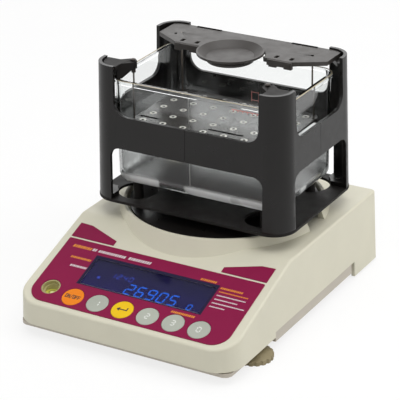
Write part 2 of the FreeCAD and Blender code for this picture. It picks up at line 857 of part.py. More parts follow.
def display():
    gap = s.part_gap
    half = WINDOW_HALF
    low, high = WINDOW_ALONG
    seat = s.sheet_thick - s.window_thick
    window = slope_box("window", (gap - half, half - gap), (low + gap, high - gap), (seat, s.sheet_thick))
    node(window, "display_window")
    inset = s.window_ledge + gap
    glass = slope_box("display_glass", (inset - half, half - inset), (low + inset, high - inset),
                      (-s.cover_wall, seat - gap))
    back = slope_box("display_back", (-half, half), WINDOW_ALONG,
                     (-s.cover_wall - s.display_deep, -s.cover_wall))
    node(fuse("display", glass, back), "display_module")


def level():
    y = SLOPE_Y + s.level_along * cosine(SLOPE_ANGLE)
    face_z = SLOPE_Z + s.level_along * sine(SLOPE_ANGLE)
    ledge_z = face_z - s.level_recess / cosine(SLOPE_ANGLE)
    top = ledge_z - s.vial_radius * tangent(SLOPE_ANGLE) - s.part_gap
    vial_low = top - s.vial_tall
    vial_y = y + s.vial_back
    holder = slope_rod("level_holder", LEVEL_X, s.level_along, (-s.level_deep, ORIGIN), s.level_radius)
    flange_out = (-s.cover_wall - s.key_seat - s.key_flange, -s.cover_wall - s.key_seat)
    flange = slope_rod("level_rim", LEVEL_X, s.level_along, flange_out, s.level_radius + s.level_flange)
    well = slope_rod("level_well", LEVEL_X, s.level_along, (-s.level_recess, MARGIN),
                     s.level_radius - s.level_wall)
    bore = rod("level_bore", LEVEL_X, vial_y, (vial_low, face_z), s.vial_radius + s.screw_clearance)
    node(cut("level_socket", fuse("level_body", holder, flange), well, bore), "level_cup")
    node(rod("level_glass", LEVEL_X, vial_y, (vial_low, top), s.vial_radius), "level_vial")


# ---------------------------------------------------------------- keys

def keys():
    top = s.sheet_thick + s.key_proud
    for name, x in key_spots():
        body = lathe(f"{name}_cap", [
            (0, KEY_STEM_LOW), (s.key_stem_radius, KEY_STEM_LOW), (s.key_stem_radius, KEY_FLANGE_LOW),
            (s.key_radius + s.key_flange, KEY_FLANGE_LOW), (s.key_radius + s.key_flange, KEY_FLANGE_TOP),
            (s.key_radius, KEY_FLANGE_TOP), (s.key_radius, top), (0, top)])

        def is_rim(room):
            return room.ZMin > top.value - EDGE_NEAR and room.XLength > EDGE_NEAR

        round_edges(body, s.key_dome, is_rim, f"{name}_dome")
        node(lay(body, x, s.key_along, ORIGIN), name)


def key_board():
    along = (s.key_board_start, s.key_board_start + s.key_board_long)
    x = (KEY_ROW_X - s.key_board_half, KEY_ROW_X + s.key_board_half)
    board = slope_box("key_board_sheet", x, along, (KEY_BOARD_LOW, KEY_BOARD_TOP))
    holes = key_bosses("key_board_hole", s.screw_radius + s.screw_clearance,
                       (KEY_BOARD_LOW - MARGIN, KEY_BOARD_TOP + MARGIN))
    node(cut("key_board_drilled", board, *holes), "key_board")
    switches = []
    for name, key_x in key_spots():
        half = s.switch_half
        case = slope_box(f"{name}_switch_case", (key_x - half, key_x + half),
                         (s.key_along - half, s.key_along + half), (KEY_BOARD_TOP, SWITCH_BODY_TOP))
        button = slope_rod(f"{name}_switch_button", key_x, s.key_along,
                           (SWITCH_BODY_TOP, SWITCH_TOP), s.switch_button)
        switches.append(fuse(f"{name}_switch", case, button))
    node(group("switch_row", *switches), "key_switches")


# ---------------------------------------------------------------- inside the base

MAIN_BOARD_LOW = FLOOR_TOP + s.main_boss_tall
MAIN_BOARD_TOP = MAIN_BOARD_LOW + s.board_thick
MAIN_SPOTS = [(f"{row}_{side}", sign * (s.main_board_half - s.main_boss_in), y) for row, y in
              (("front", MAIN_BOARD_FRONT + s.main_boss_in),
               ("rear", MAIN_BOARD_FRONT + s.main_board_long - s.main_boss_in)) for side, sign in SIDES]
CELL_FIXED_SPOTS = [("outer", s.cell_screw_in - s.cell_half, STAGE_Y),
                    ("inner", s.cell_block_long - s.cell_screw_in - s.cell_half, STAGE_Y)]
CELL_FREE_SPOTS = [("outer", s.cell_half - s.cell_screw_in, STAGE_Y),
                   ("inner", s.cell_half - s.cell_block_long + s.cell_screw_in, STAGE_Y)]
CELL_TOP = s.cell_low + s.cell_tall
CELL_Y = (STAGE_Y - s.cell_half_wide, STAGE_Y + s.cell_half_wide)


def boards():
    y = (MAIN_BOARD_FRONT, MAIN_BOARD_FRONT + s.main_board_long)
    x = (-s.main_board_half, s.main_board_half)
    board = box("main_board_sheet", x, y, (MAIN_BOARD_LOW, MAIN_BOARD_TOP))
    holes = rods_at("main_board_hole", MAIN_SPOTS, (MAIN_BOARD_LOW - MARGIN, MAIN_BOARD_TOP + MARGIN),
                    s.screw_radius + s.screw_clearance)
    node(cut("main_board_drilled", board, *holes), "main_board")
    middle = MAIN_BOARD_FRONT + s.main_board_long / 2
    node(box("chip", (-s.chip_half, s.chip_half), (middle - s.chip_half, middle + s.chip_half),
             (MAIN_BOARD_TOP, MAIN_BOARD_TOP + s.chip_tall)), "main_chip")
    head = (MAIN_BOARD_TOP, MAIN_BOARD_TOP + s.screw_head_tall)
    made = screws("main_screw", MAIN_SPOTS, head, MAIN_BOARD_LOW - s.main_boss_tall / 2)
    for side, sign in SIDES:
        x = KEY_ROW_X + sign * s.key_boss_x
        key_head = slope_rod(f"key_screw_head_{side}", x, s.key_boss_along,
                             (KEY_BOARD_LOW - s.screw_head_tall, KEY_BOARD_LOW), s.screw_head)
        shank = slope_rod(f"key_screw_shank_{side}", x, s.key_boss_along,
                          (KEY_BOARD_LOW, KEY_BOARD_TOP + s.screw_bite / 2 - s.part_gap), s.screw_radius)
        made.append(fuse(f"key_screw_{side}", key_head, shank))
    node(group("small_screws", *made), "board_screws")


def load_cell():
    beam = box("cell_beam", (-s.cell_half, s.cell_half), CELL_Y, (s.cell_low, CELL_TOP))
    middle = s.cell_low + s.cell_tall / 2
    y = (CELL_Y[0] - MARGIN, CELL_Y[1] + MARGIN)
    slot = (middle - s.cell_slot / 2, middle + s.cell_slot / 2)
    tools = [rod_along_y(f"cell_eye_{side}", sign * s.cell_eye_x, middle, y, s.cell_eye)
             for side, sign in SIDES]
    tools.append(box("cell_slot", (-s.cell_eye_x, s.cell_eye_x), y, slot))
    bore = s.screw_radius + s.screw_clearance
    tools += rods_at("cell_fixed_bore", CELL_FIXED_SPOTS, (s.cell_low - MARGIN, s.cell_low + s.screw_bite),
                     bore)
    tools += rods_at("cell_free_bore", CELL_FREE_SPOTS, (CELL_TOP - s.screw_bite, CELL_TOP + MARGIN),
                     bore + s.part_gap)
    node(cut("cell_cut", beam, *tools), "load_cell")

    x = (-s.cell_half, s.cell_block_long - s.cell_half)
    block_item = box("cell_foot", x, CELL_Y, (FLOOR_TOP, s.cell_low))
    bores = rods_at("cell_block_bore", CELL_FIXED_SPOTS, (FLOOR_TOP - MARGIN, s.cell_low + MARGIN), bore)
    node(cut("cell_foot_drilled", block_item, *bores), "cell_block")
    made = screws("cell_screw", CELL_FIXED_SPOTS, COVER_HEAD, s.cell_low + s.screw_bite - s.part_gap)
    node(group("cell_screw_pair", *made), "cell_screws")


def foot_spots():
    return [(side, sign * FOOT_X, FOOT_Y) for side, sign in SIDES]


RECESS_TOP = s.recess_roof + s.recess_wall
FLOOR_HALF = HALF_WIDTH - s.cover_wall - s.floor_gap
FLOOR_HALF_DEEP = HALF_DEPTH - s.cover_wall - s.floor_gap


def bottom_cover():
    floor = block("floor", (-FLOOR_HALF, FLOOR_HALF), (-FLOOR_HALF_DEEP, FLOOR_HALF_DEEP),
                  (s.floor_low, FLOOR_TOP), (s.floor_corner,) * 4)
    room = box("floor_room", (-FLOOR_HALF, FLOOR_HALF), (-FLOOR_HALF_DEEP, FLOOR_HALF_DEEP),
               (s.floor_low, s.deck_height))
    cups = rods_at("recess_wall", foot_spots(), (s.floor_low, RECESS_TOP), s.wheel_recess + s.recess_wall)
    nut_boss = s.nut_across / 2 / cosine(HEX_TURN) + s.recess_wall
    cups += rods_at("nut_boss", foot_spots(), (s.recess_roof, RECESS_TOP + s.nut_tall), nut_boss)
    cups = common("recess_walls_inside", fuse("recess_walls", *cups), room)
    bands = []
    for side, sign in SIDES:
        edges = (HALF_WIDTH - s.band_inset - s.band_thick, HALF_WIDTH - s.band_inset)
        x = edges if sign > 0 else (-edges[1], -edges[0])
        bands.append(box(f"band_{side}", x, (SIDE_START + s.part_gap, SKIRT_START - s.band_notch),
                         (s.floor_low, s.side_low - s.part_gap)))
    bosses = rods_at("floor_boss", COVER_SPOTS, (s.floor_low, s.boss_top), s.boss_radius)
    bosses += rods_at("main_boss", MAIN_SPOTS, (s.floor_low, MAIN_BOARD_LOW), s.boss_radius)
    whole = fuse("floor_whole", floor, cups, *bands, *bosses)
    bore = s.screw_radius + s.screw_clearance
    low = s.floor_low - MARGIN
    tools = rods_at("recess", foot_spots(), (low, s.recess_roof), s.wheel_recess)
    tools += rods_at("stud_hole", foot_spots(), (low, RECESS_TOP + MARGIN), s.stud_radius + s.part_gap)
    tools += [prism(f"nut_seat_{side}", x, y, (RECESS_TOP, RECESS_TOP + s.nut_tall + MARGIN),
                    s.nut_across + 2 * s.screw_clearance) for side, x, y in foot_spots()]
    for label, spots in (("cover", COVER_SPOTS), ("cell", CELL_FIXED_SPOTS)):
        tools += rods_at(f"{label}_bore", spots, (low, s.boss_top + MARGIN), bore)
        tools += rods_at(f"{label}_sink", spots, (low, COVER_HEAD[1]), s.screw_head + s.screw_clearance)
    tools += rods_at("main_bore", MAIN_SPOTS, (FLOOR_TOP, MAIN_BOARD_LOW + MARGIN), bore)
    node(cut("bottom_cover_body", whole, *tools), "bottom_cover")
    made = screws("cover_screw", COVER_SPOTS, COVER_HEAD, COVER_TIP)
    node(group("cover_screw_set", *made), "cover_screws")


def feet():
    head_top = s.stud_head_low + s.stud_head_tall
    hub_top = s.recess_roof - s.part_gap
    bore = s.stud_radius + s.stud_clearance
    recess = s.stud_head + s.screw_clearance
    for side, x, y in foot_spots():
        wheel = lathe(f"wheel_{side}", [
            (recess, 0), (s.wheel_radius, 0), (s.wheel_radius, s.wheel_rim),
            (s.wheel_hub, s.wheel_rim + s.wheel_cone), (s.wheel_hub, hub_top), (bore, hub_top),
            (bore, head_top + s.stud_clearance), (recess, head_top + s.stud_clearance)])
        doc.recompute()
        sketch = new_sketch(wheel, "XY_Plane", f"scallop_{side}", s.wheel_rim + s.wheel_cone)
        circle(sketch, s.wheel_radius + s.scallop_out, ORIGIN, s.wheel_scallop)
        first = pocket(wheel, sketch, s.wheel_rim + s.wheel_cone + MARGIN)
        ring = wheel.newObject("PartDesign::PolarPattern", f"scallops_{side}")
        ring.Originals = [first]
        ring.Axis = (sketch, ["N_Axis"])
        ring.Angle = ALL_ROUND
        ring.Occurrences = SCALLOPS
        wheel.Tip = ring
        node(place(wheel, x, y, ORIGIN), f"foot_wheel_{side}")

        shank = rod(f"stud_shank_{side}", x, y, (s.stud_head_low, s.stud_top), s.stud_radius)
        head = rod(f"stud_head_{side}", x, y, (s.stud_head_low, head_top), s.stud_head)
        node(fuse(f"stud_{side}", shank, head), f"foot_stud_{side}")
        nut = prism(f"nut_{side}", x, y, (RECESS_TOP, RECESS_TOP + s.nut_tall), s.nut_across)
        thread_z = (RECESS_TOP - MARGIN, RECESS_TOP + s.nut_tall + MARGIN)
        thread = rod(f"nut_bore_{side}", x, y, thread_z, bore)
        node(cut(f"nut_bored_{side}", nut, thread), f"foot_nut_{side}")
    for side, sign in SIDES:
        x = sign * (HALF_WIDTH - s.rear_foot_in_x)
        y = HALF_DEPTH - s.rear_foot_in_y
        node(rod(f"pad_{side}", x, y, (ORIGIN, s.floor_low), s.rear_foot_radius), f"rear_foot_{side}")


def inlets():
    end = HALF_DEPTH - s.screw_clearance
    inner_wall = (HALF_DEPTH - s.cover_wall - s.screw_clearance
                  - (s.inlet_z + s.jack_nut - s.skirt_low) * tangent(s.side_draft))
    barrel = rod_along_y("jack_tube", s.jack_x, s.inlet_z, (end - s.jack_long, end), s.jack_barrel)
    nut_y = (inner_wall - s.cover_wall, inner_wall)
    nut = rod_along_y("jack_flange", s.jack_x, s.inlet_z, nut_y, s.jack_nut)
    bore = rod_along_y("jack_bore", s.jack_x, s.inlet_z, (end - s.jack_long + s.cover_wall, end + MARGIN),
                       s.jack_bore)
    pin_end = end - s.screw_head_tall
    pin_rod = rod_along_y("jack_pin", s.jack_x, s.inlet_z, (end - s.jack_long, pin_end), s.jack_pin)
    node(fuse("jack", cut("jack_hollow", fuse("jack_body", barrel, nut), bore), pin_rod), "dc_jack")

    def slab(name, half_x, tall, y):
        x = (s.port_x - half_x, s.port_x + half_x)
        return box(name, x, y, (s.inlet_z - tall / 2, s.inlet_z + tall / 2))

    inner = s.port_half - s.port_shell
    shell = slab("port_tube", s.port_half, s.port_tall, (end - s.port_deep, end))
    flange_y = (inner_wall - s.port_shell * 2, inner_wall)
    flange = slab("port_flange", s.port_flange_half, s.port_flange_tall, flange_y)
    mouth = slab("port_mouth", inner, s.port_tall - 2 * s.port_shell, (end - s.port_mouth, end + MARGIN))
    node(cut("port", fuse("port_body", shell, flange), mouth), "serial_port")


# ---------------------------------------------------------------- stage on the load cell

POST_SPOTS = stage_spots(TANK_POST_X, TANK_POST_Y)


def tank_posts():
    """Slim posts from the well's floor, through the pan and the plate, that carry the tank."""
    made = rods_at("tank_post", POST_SPOTS, (s.deck_height, TANK_LOW), s.tank_post_radius)
    node(group("tank_post_set", *made), "tank_posts")


def spider_and_pan():
    x = (s.cell_half - s.cell_block_long, s.cell_half)
    foot = box("spider_foot", x, CELL_Y, (SPIDER_LOW, SPIDER_ARM_LOW))
    arm = box("spider_arm", (-s.cell_half_wide, s.cell_half), CELL_Y, (SPIDER_ARM_LOW, SPIDER_ARM_TOP))
    hub = rod("spider_hub", 0, STAGE_Y, (SPIDER_ARM_LOW, PAN_LOW), s.spider_hub)
    bore = s.screw_radius + s.screw_clearance
    bores = rods_at("spider_bore", CELL_FREE_SPOTS, (SPIDER_LOW - MARGIN, SPIDER_ARM_TOP + MARGIN), bore)
    node(cut("spider", fuse("spider_body", foot, arm, hub), *bores), "pan_spider")
    head = (SPIDER_ARM_TOP, SPIDER_ARM_TOP + s.screw_head_tall)
    made = screws("spider_screw", CELL_FREE_SPOTS, head, CELL_TOP - s.screw_bite / 2)
    node(group("spider_screw_pair", *made), "spider_screws")

    disc = rod("pan_disc", 0, STAGE_Y, (PAN_LOW, PAN_TOP), s.pan_radius)
    boss_low = s.deck_height + 2 * s.stage_travel + s.part_gap
    boss = rod("pan_boss", 0, STAGE_Y, (boss_low, PAN_LOW), s.spider_hub + s.pan_boss_wall)
    socket = rod("pan_socket", 0, STAGE_Y, (boss_low - MARGIN, PAN_LOW), s.spider_hub + s.stud_clearance)
    cutouts = rods_at("pan_cutout", POST_SPOTS, (boss_low, PAN_TOP + MARGIN), s.pan_cutout)
    node(cut("pan_cut", fuse("pan_body", disc, boss), socket, *cutouts), "pan")


def frame_inside(half, z):
    """Half the room inside the frame at height z, from its outer half size at the foot."""
    return half - s.frame_wall - (z - PLATE_TOP) * tangent(s.frame_draft)


FRAME_SCREW_SPOTS = stage_spots(s.frame_half_x - s.frame_screw_in, s.frame_half_y - s.frame_screw_in)


def frame_plate():
    plate = centred_block("plate", s.frame_half_x + s.plate_edge, s.frame_half_y + s.plate_edge, STAGE_Y,
                          (PLATE_LOW, PLATE_TOP), s.frame_corner_round + s.plate_edge)
    ring_z = (PAN_TOP, PLATE_LOW)
    bore_z = (PAN_TOP - MARGIN, PLATE_LOW + MARGIN)
    ring_bore = rod("foot_ring_inner", 0, STAGE_Y, bore_z, s.foot_ring_radius - s.foot_ring_wall)
    ring = cut("foot_ring", rod("foot_ring_outer", 0, STAGE_Y, ring_z, s.foot_ring_radius), ring_bore)
    node(ring, "plate_ring")
    through = (PLATE_LOW - MARGIN, PLATE_TOP + MARGIN)
    holes = rods_at("plate_hole", POST_SPOTS, through, s.plate_hole)
    holes += rods_at("plate_bore", FRAME_SCREW_SPOTS, through, s.screw_radius + s.screw_clearance)
    node(cut("plate_cut", plate, *holes), "frame_plate")


def window_tool(name, role, lift, middle, half, z, radius):
    """A rounded opening that runs right through the frame along the plane's normal."""
    body = new_body(name)
    sketch = new_sketch(body, role, f"{name}_outline", lift)
    rounded_rectangle(sketch, (middle - half, middle + half), z, (radius,) * 4)
    pad(body, sketch, FAR_SIZE)
    return body


def corner_boxes(name, z, x_in, y_in, x_out, y_out):
    """One box in each corner of the frame, between inner and outer distances from the stage's middle."""
    made = []
    for label, sx, sy in FRAME_CORNERS:
        x = (x_in, x_out) if sx > 0 else (-x_out, -x_in)
        y = (STAGE_Y + y_in, STAGE_Y + y_out) if sy > 0 else (STAGE_Y - y_out, STAGE_Y - y_in)
        made.append(box(f"{name}_{label}", x, y, z))
    return made


def tank_room(name, clearance):
    """The tank's outline with a clearance round it, as a tall block."""
    return centred_block(name, TANK_HALF_X + s.tank_lip + clearance, TANK_HALF_Y + s.tank_lip + clearance,
                         STAGE_Y, (TANK_LOW, FRAME_TOP + MARGIN), s.tank_corner + s.tank_lip + clearance)


def shelf_room():
    """A square on its corner that just holds the tank's room, so that each shelf ends at a straight edge."""
    half_x = TANK_HALF_X + s.tank_lip + s.gusset_clearance
    half_y = TANK_HALF_Y + s.tank_lip + s.gusset_clearance
    leg = (s.tank_corner + s.tank_lip + s.gusset_clearance) * (2 - 2 * cosine(CHAMFER_TURN))
    reach = half_x + half_y - leg
    points = [(reach, STAGE_Y), (0, STAGE_Y + reach), (-reach, STAGE_Y), (0, STAGE_Y - reach)]
    return sheet_body("shelf_room", points, TANK_LOW, FRAME_TOP - TANK_LOW)


def frame_corners():
    z = (PLATE_TOP, FRAME_TOP)
    outer = centred_block("frame_outer", s.frame_half_x, s.frame_half_y, STAGE_Y, z,
                          s.frame_corner_round, -s.frame_draft)
    inner = centred_block("frame_inner", s.frame_half_x - s.frame_wall, s.frame_half_y - s.frame_wall,
                          STAGE_Y, z, s.frame_corner_round - s.frame_wall, -s.frame_draft)
    upper = (BAND_HIGH, FRAME_TOP + 2 * s.upper_window_round)
    lower = (PLATE_TOP - 2 * s.lower_window_round, BAND_LOW)
    back = -(STAGE_Y + FAR_SIZE / 2)
    across = -FAR_SIZE / 2
    windows = [
        window_tool("front_upper", "XZ_Plane", back, ORIGIN, FRONT_WINDOW, upper, s.upper_window_round),
        window_tool("front_lower", "XZ_Plane", back, ORIGIN, FRONT_WINDOW_LOW, lower, s.lower_window_round),
        window_tool("side_upper", "YZ_Plane", across, STAGE_Y, SIDE_WINDOW, upper, s.upper_window_round),
        window_tool("side_lower", "YZ_Plane", across, STAGE_Y, SIDE_WINDOW_LOW, lower, s.lower_window_round),
    ]
    walls = cut("frame_walls", outer, inner, *windows)
    limits = (FRONT_WINDOW, SIDE_WINDOW, s.frame_half_x, s.frame_half_y)
    shelf_z = (HANGER_SEAT - s.gusset_thick, HANGER_SEAT)
    shelf = fuse("shelf_boxes", *corner_boxes("shelf", shelf_z, *limits))
    shelf = cut("shelves", common("shelf_in_frame", shelf, outer), shelf_room())
    limits = (FRONT_WINDOW_LOW, SIDE_WINDOW_LOW, s.frame_half_x, s.frame_half_y)
    foot = fuse("foot_boxes", *corner_boxes("foot", (PLATE_TOP, PLATE_TOP + s.gusset_thick), *limits))
    foot_z = (PLATE_LOW, PLATE_TOP + s.gusset_thick + MARGIN)
    foot = cut("frame_feet", common("foot_in_frame", foot, outer),
               *rods_at("foot_room", POST_SPOTS, foot_z, s.plate_hole + s.part_gap),
               *rods_at("foot_bore", FRAME_SCREW_SPOTS, foot_z, s.screw_radius + s.screw_clearance))
    whole = fuse("frame_whole", walls, shelf, foot)
    half_seam = s.frame_seam / 2
    outside = (s.frame_half_x + MARGIN, s.frame_half_y + MARGIN)
    quarters = corner_boxes("quarter", (PLATE_LOW, FRAME_TOP + MARGIN), half_seam, half_seam, *outside)
    for (label, _, _), quarter in zip(FRAME_CORNERS, quarters):
        node(common(f"frame_{label}", whole, quarter), f"frame_corner_{label}")
    head = (PLATE_LOW - s.screw_head_tall, PLATE_LOW)
    made = screws("frame_screw", FRAME_SCREW_SPOTS, head, PLATE_TOP + s.gusset_thick - s.part_gap)
    node(group("frame_screw_set", *made), "frame_screws")


# ---------------------------------------------------------------- hanger

ROD_SPOTS = stage_spots(ROD_X, ROD_Y)


def hanger_room(name, low):
    """The room inside the frame's posts down to a height, less the hanger's gap."""
    half_x = frame_inside(s.frame_half_x, HANGER_TOP) - s.hanger_gap
    half_y = frame_inside(s.frame_half_y, HANGER_TOP) - s.hanger_gap
    radius = s.frame_corner_round - s.frame_wall - s.hanger_gap - s.plate_lip
    return centred_block(name, half_x, half_y, STAGE_Y, (low, HANGER_TOP), radius)


def top_plate():
    rear = s.frame_half_y
    side = frame_inside(s.frame_half_x, HANGER_TOP) - s.hanger_side_gap
    front = PLATE_FRONT
    tip = s.frame_half_y - s.plate_side_deep
    points = [(-PLATE_BAR_HALF, front), (PLATE_BAR_HALF, front), (side, tip), (side, rear), (-side, rear),
              (-side, tip)]
    points = [(x, STAGE_Y + y) for x, y in points]
    flat = sheet_body("plate_flat", points, HANGER_SEAT, s.hanger_thick)
    flat = common("plate_in_frame", flat, hanger_room("plate_room", HANGER_SEAT))
    dish_y = DISH_Y
    cradle_low = HANGER_SEAT - s.cradle_tall
    cradle_z = (cradle_low, HANGER_SEAT)
    cradle = rod("cradle_outer", 0, dish_y, cradle_z, s.cradle_radius)
    web_y = (dish_y, dish_y + s.dish_radius + s.web_bite)
    web = box("cradle_web", (-s.web_half, s.web_half), web_y, cradle_z)
    lug_low = HANGER_SEAT - s.plate_lug
    extras = [cradle, web]
    for side_name, sign in SIDES:
        inner, outer = (PLATE_BAR_INNER, PLATE_BAR_HALF)
        for label, low_x, high_x, low_z in (
                ("bar", inner, outer, HANGER_SEAT - s.plate_lip),
                ("lug_in", inner + s.plate_lip, inner + s.plate_lip + s.lug_long, lug_low),
                ("lug_out", outer - s.lug_long, outer, lug_low)):
            x = (low_x, high_x) if sign > 0 else (-high_x, -low_x)
            y = (STAGE_Y + front - s.plate_lip, STAGE_Y + front + s.plate_lip)
            extras.append(box(f"plate_{label}_{side_name}", x, y, (low_z, HANGER_TOP - s.part_gap)))
    above = HANGER_TOP + MARGIN
    tools = [rod("dish_well", 0, dish_y, (HANGER_SEAT, above), s.dish_radius + s.dish_clearance),
             rod("cradle_hole", 0, dish_y, (cradle_low - MARGIN, above), s.cradle_radius - s.cradle_wide)]
    tools += rods_at("rear_rod_hole", ROD_SPOTS[2:], (HANGER_SEAT - MARGIN, above),
                     s.rod_radius + s.rod_clearance)
    for side_name, sign in SIDES:
        for label, middle_x in (("out", PLATE_BAR_HALF - s.lug_long / 2),
                                ("in", PLATE_BAR_INNER + s.plate_lip + s.lug_long / 2)):
            centre = sign * middle_x
            x = (centre - s.slot_long / 2, centre + s.slot_long / 2)
            y = STAGE_Y + s.frame_half_y - s.slot_in
            slot_z = (HANGER_SEAT - MARGIN, above)
            tools.append(box(f"slot_{label}_{side_name}", x, (y, y + s.slot_wide), slot_z))
    node(cut("top_plate_cut", fuse("top_plate_body", flat, *extras), *tools), "top_plate")


def arms():
    """A cap in each front post with a tapering arm that reaches in to a rod."""
    root_x = s.frame_half_x - s.frame_corner_round / 2
    root_y = s.frame_half_y - s.frame_corner_round / 2
    run_x = root_x - ROD_X
    run_y = root_y - ROD_Y
    angle = angle_of(run_y, run_x)
    reach = run_x / cosine(angle)
    caps = corner_boxes("cap", (HANGER_SEAT, HANGER_TOP), FRONT_WINDOW, SIDE_WINDOW,
                        s.frame_half_x, s.frame_half_y)
    for (side, sign), corner in zip(SIDES, caps):
        blade = new_body(f"arm_blade_{side}")
        profile = new_sketch(blade, "XZ_Plane", f"arm_profile_{side}", -s.arm_wide / 2)
        polygon(profile, [(0, HANGER_TOP - s.arm_tip_deep), (0, HANGER_TOP), (reach, HANGER_TOP),
                          (reach, HANGER_TOP - s.arm_deep), (s.arm_knee, HANGER_TOP - s.arm_deep),
                          (s.ferrule_radius + s.part_gap, HANGER_TOP - s.arm_tip_deep)])
        pad(blade, profile, s.arm_wide)
        turn(blade, (0, 0, 1), -angle if sign > 0 else angle - 180)
        place(blade, sign * ROD_X, STAGE_Y - ROD_Y, ORIGIN)
        deep = common(f"arm_deep_{side}", blade, tank_room(f"arm_room_{side}", s.gusset_clearance / 2))
        cap = common(f"arm_cap_{side}", corner, hanger_room(f"cap_room_{side}", HANGER_SEAT))
        knob_z = (HANGER_TOP - s.arm_tip_deep, HANGER_TOP)
        knob = rod(f"arm_knob_{side}", sign * ROD_X, STAGE_Y - ROD_Y, knob_z, s.arm_knob)
        hole = rod(f"arm_hole_{side}", sign * ROD_X, STAGE_Y - ROD_Y,
                   (knob_z[0] - MARGIN, knob_z[1] + MARGIN), s.rod_radius + s.rod_clearance)
        node(cut(f"arm_{side}_cut", fuse(f"arm_{side}_body", deep, cap, knob), hole), f"arm_{side}")


def rods_and_tray():
    made = []
    sleeves = []
    tops = [HANGER_TOP - s.arm_tip_deep] * 2 + [HANGER_SEAT] * 2
    bore = s.rod_radius + s.rod_clearance
    for (label, x, y), top in zip(ROD_SPOTS, tops):
        wire = rod(f"hanger_rod_{label}", x, y, (TRAY_LOW, HANGER_TOP), s.rod_radius)
        foot = rod(f"rod_foot_{label}", x, y, (TRAY_LOW - s.rod_foot_tall, TRAY_LOW), s.ferrule_radius)
        made.append(fuse(f"rod_{label}", wire, foot))
        sleeve = rod(f"sleeve_{label}", x, y, (top - s.ferrule_long, top), s.ferrule_radius)
        inner = rod(f"sleeve_bore_{label}", x, y, (top - s.ferrule_long - MARGIN, top + MARGIN), bore)
        sleeves.append(cut(f"ferrule_{label}", sleeve, inner))
    node(group("rod_set", *made), "hanger_rods")
    node(group("ferrule_set", *sleeves), "rod_ferrules")

    tray = new_body("tray_sheet")
    sketch = new_sketch(tray, "XY_Plane", "tray_outline", TRAY_LOW)
    y = (STAGE_Y - TRAY_HALF_Y, STAGE_Y + TRAY_HALF_Y)
    rounded_rectangle(sketch, (-TRAY_HALF_X, TRAY_HALF_X), y, (s.tray_corner,) * 4)
    for column in TRAY_COLUMNS:
        for row in TRAY_ROWS:
            circle(sketch, column * TRAY_PITCH_X, STAGE_Y + row * TRAY_PITCH_Y, s.tray_hole)
    for _, rod_x, rod_y in ROD_SPOTS:
        circle(sketch, rod_x, rod_y, bore)
    pad(tray, sketch, s.tray_thick)
    node(tray, "tray")


def air_dish():
    low = -s.cradle_tall
    lip = s.dish_deep
    rest = s.cradle_radius - s.cradle_wide - s.dish_clearance
    wall = s.dish_wall
    under_rim = lip - s.dish_rim
    dish = lathe("dish", [
        (0, low), (rest - s.cradle_tall, low), (rest, 0), (s.cradle_radius, 0),
        (s.dish_radius - wall, under_rim), (s.dish_radius, under_rim), (s.dish_radius, lip),
        (s.dish_radius - wall, lip), (s.cradle_radius, wall), (0, wall)])
    node(place(dish, 0, DISH_Y, HANGER_SEAT), "air_dish")


def tank():
    tall = TANK_RIM - TANK_LOW
    lean = tall * tangent(s.tank_draft)

    def tub(name, inset, low):
        return centred_block(name, TANK_HALF_X - lean - inset, TANK_HALF_Y - lean - inset, STAGE_Y,
                             (low, TANK_RIM), s.tank_corner - lean - inset, s.tank_draft)

    outer = tub("tank_outer", ORIGIN, TANK_LOW)
    round_edges(outer, s.tank_floor_round, lambda room: room.ZMax < TANK_LOW.value + EDGE_NEAR,
                "tank_outer_round")
    inner_low = TANK_LOW + s.tank_floor
    inner = tub("tank_inner", s.tank_wall, inner_low)
    round_edges(inner, s.tank_floor_round - s.tank_wall,
                lambda room: room.ZMax < inner_low.value + EDGE_NEAR, "tank_inner_round")
    lip = centred_block("tank_lip", TANK_HALF_X + s.tank_lip, TANK_HALF_Y + s.tank_lip, STAGE_Y,
                        (TANK_RIM - s.tank_lip_tall, TANK_RIM), s.tank_corner + s.tank_lip)
    node(cut("tank_cut", fuse("tank_body", outer, lip), inner), "tank")


# ---------------------------------------------------------------- build and export

def build():
    top_cover()
    bottom_cover()
    panel_overlay()
    badges()
    display()
    level()
    keys()
    key_board()
    boards()
    load_cell()
    feet()
    inlets()
    tank_posts()
    spider_and_pan()
    frame_plate()
    frame_corners()
    top_plate()
    arms()
    rods_and_tray()
    air_dish()
    tank()
    doc.recompute()


def check():
    """Every object must have been worked out, and every piece must be a valid shape."""
    for item in doc.Objects:
        if "Invalid" in item.State or "Error" in item.State:
            raise RuntimeError(f"{item.Name} ({item.Label}) is {item.State}")
    for item in NODES:
        if item.Shape.isNull() or not item.Shape.isValid() or not item.Shape.Solids:
            raise RuntimeError(f"{item.Label} has no valid shape")


def export():
    os.makedirs("parts", exist_ok=True)
    for item in NODES:
        item.Shape.exportStep(f"parts/{item.Label}.step")
        print(f"{item.Label}: {len(item.Shape.Solids)} solids, {item.Shape.Volume:.0f} mm3")


build()
check()
export()
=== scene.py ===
import math

import bmesh
import bpy
from mathutils import Matrix, Vector


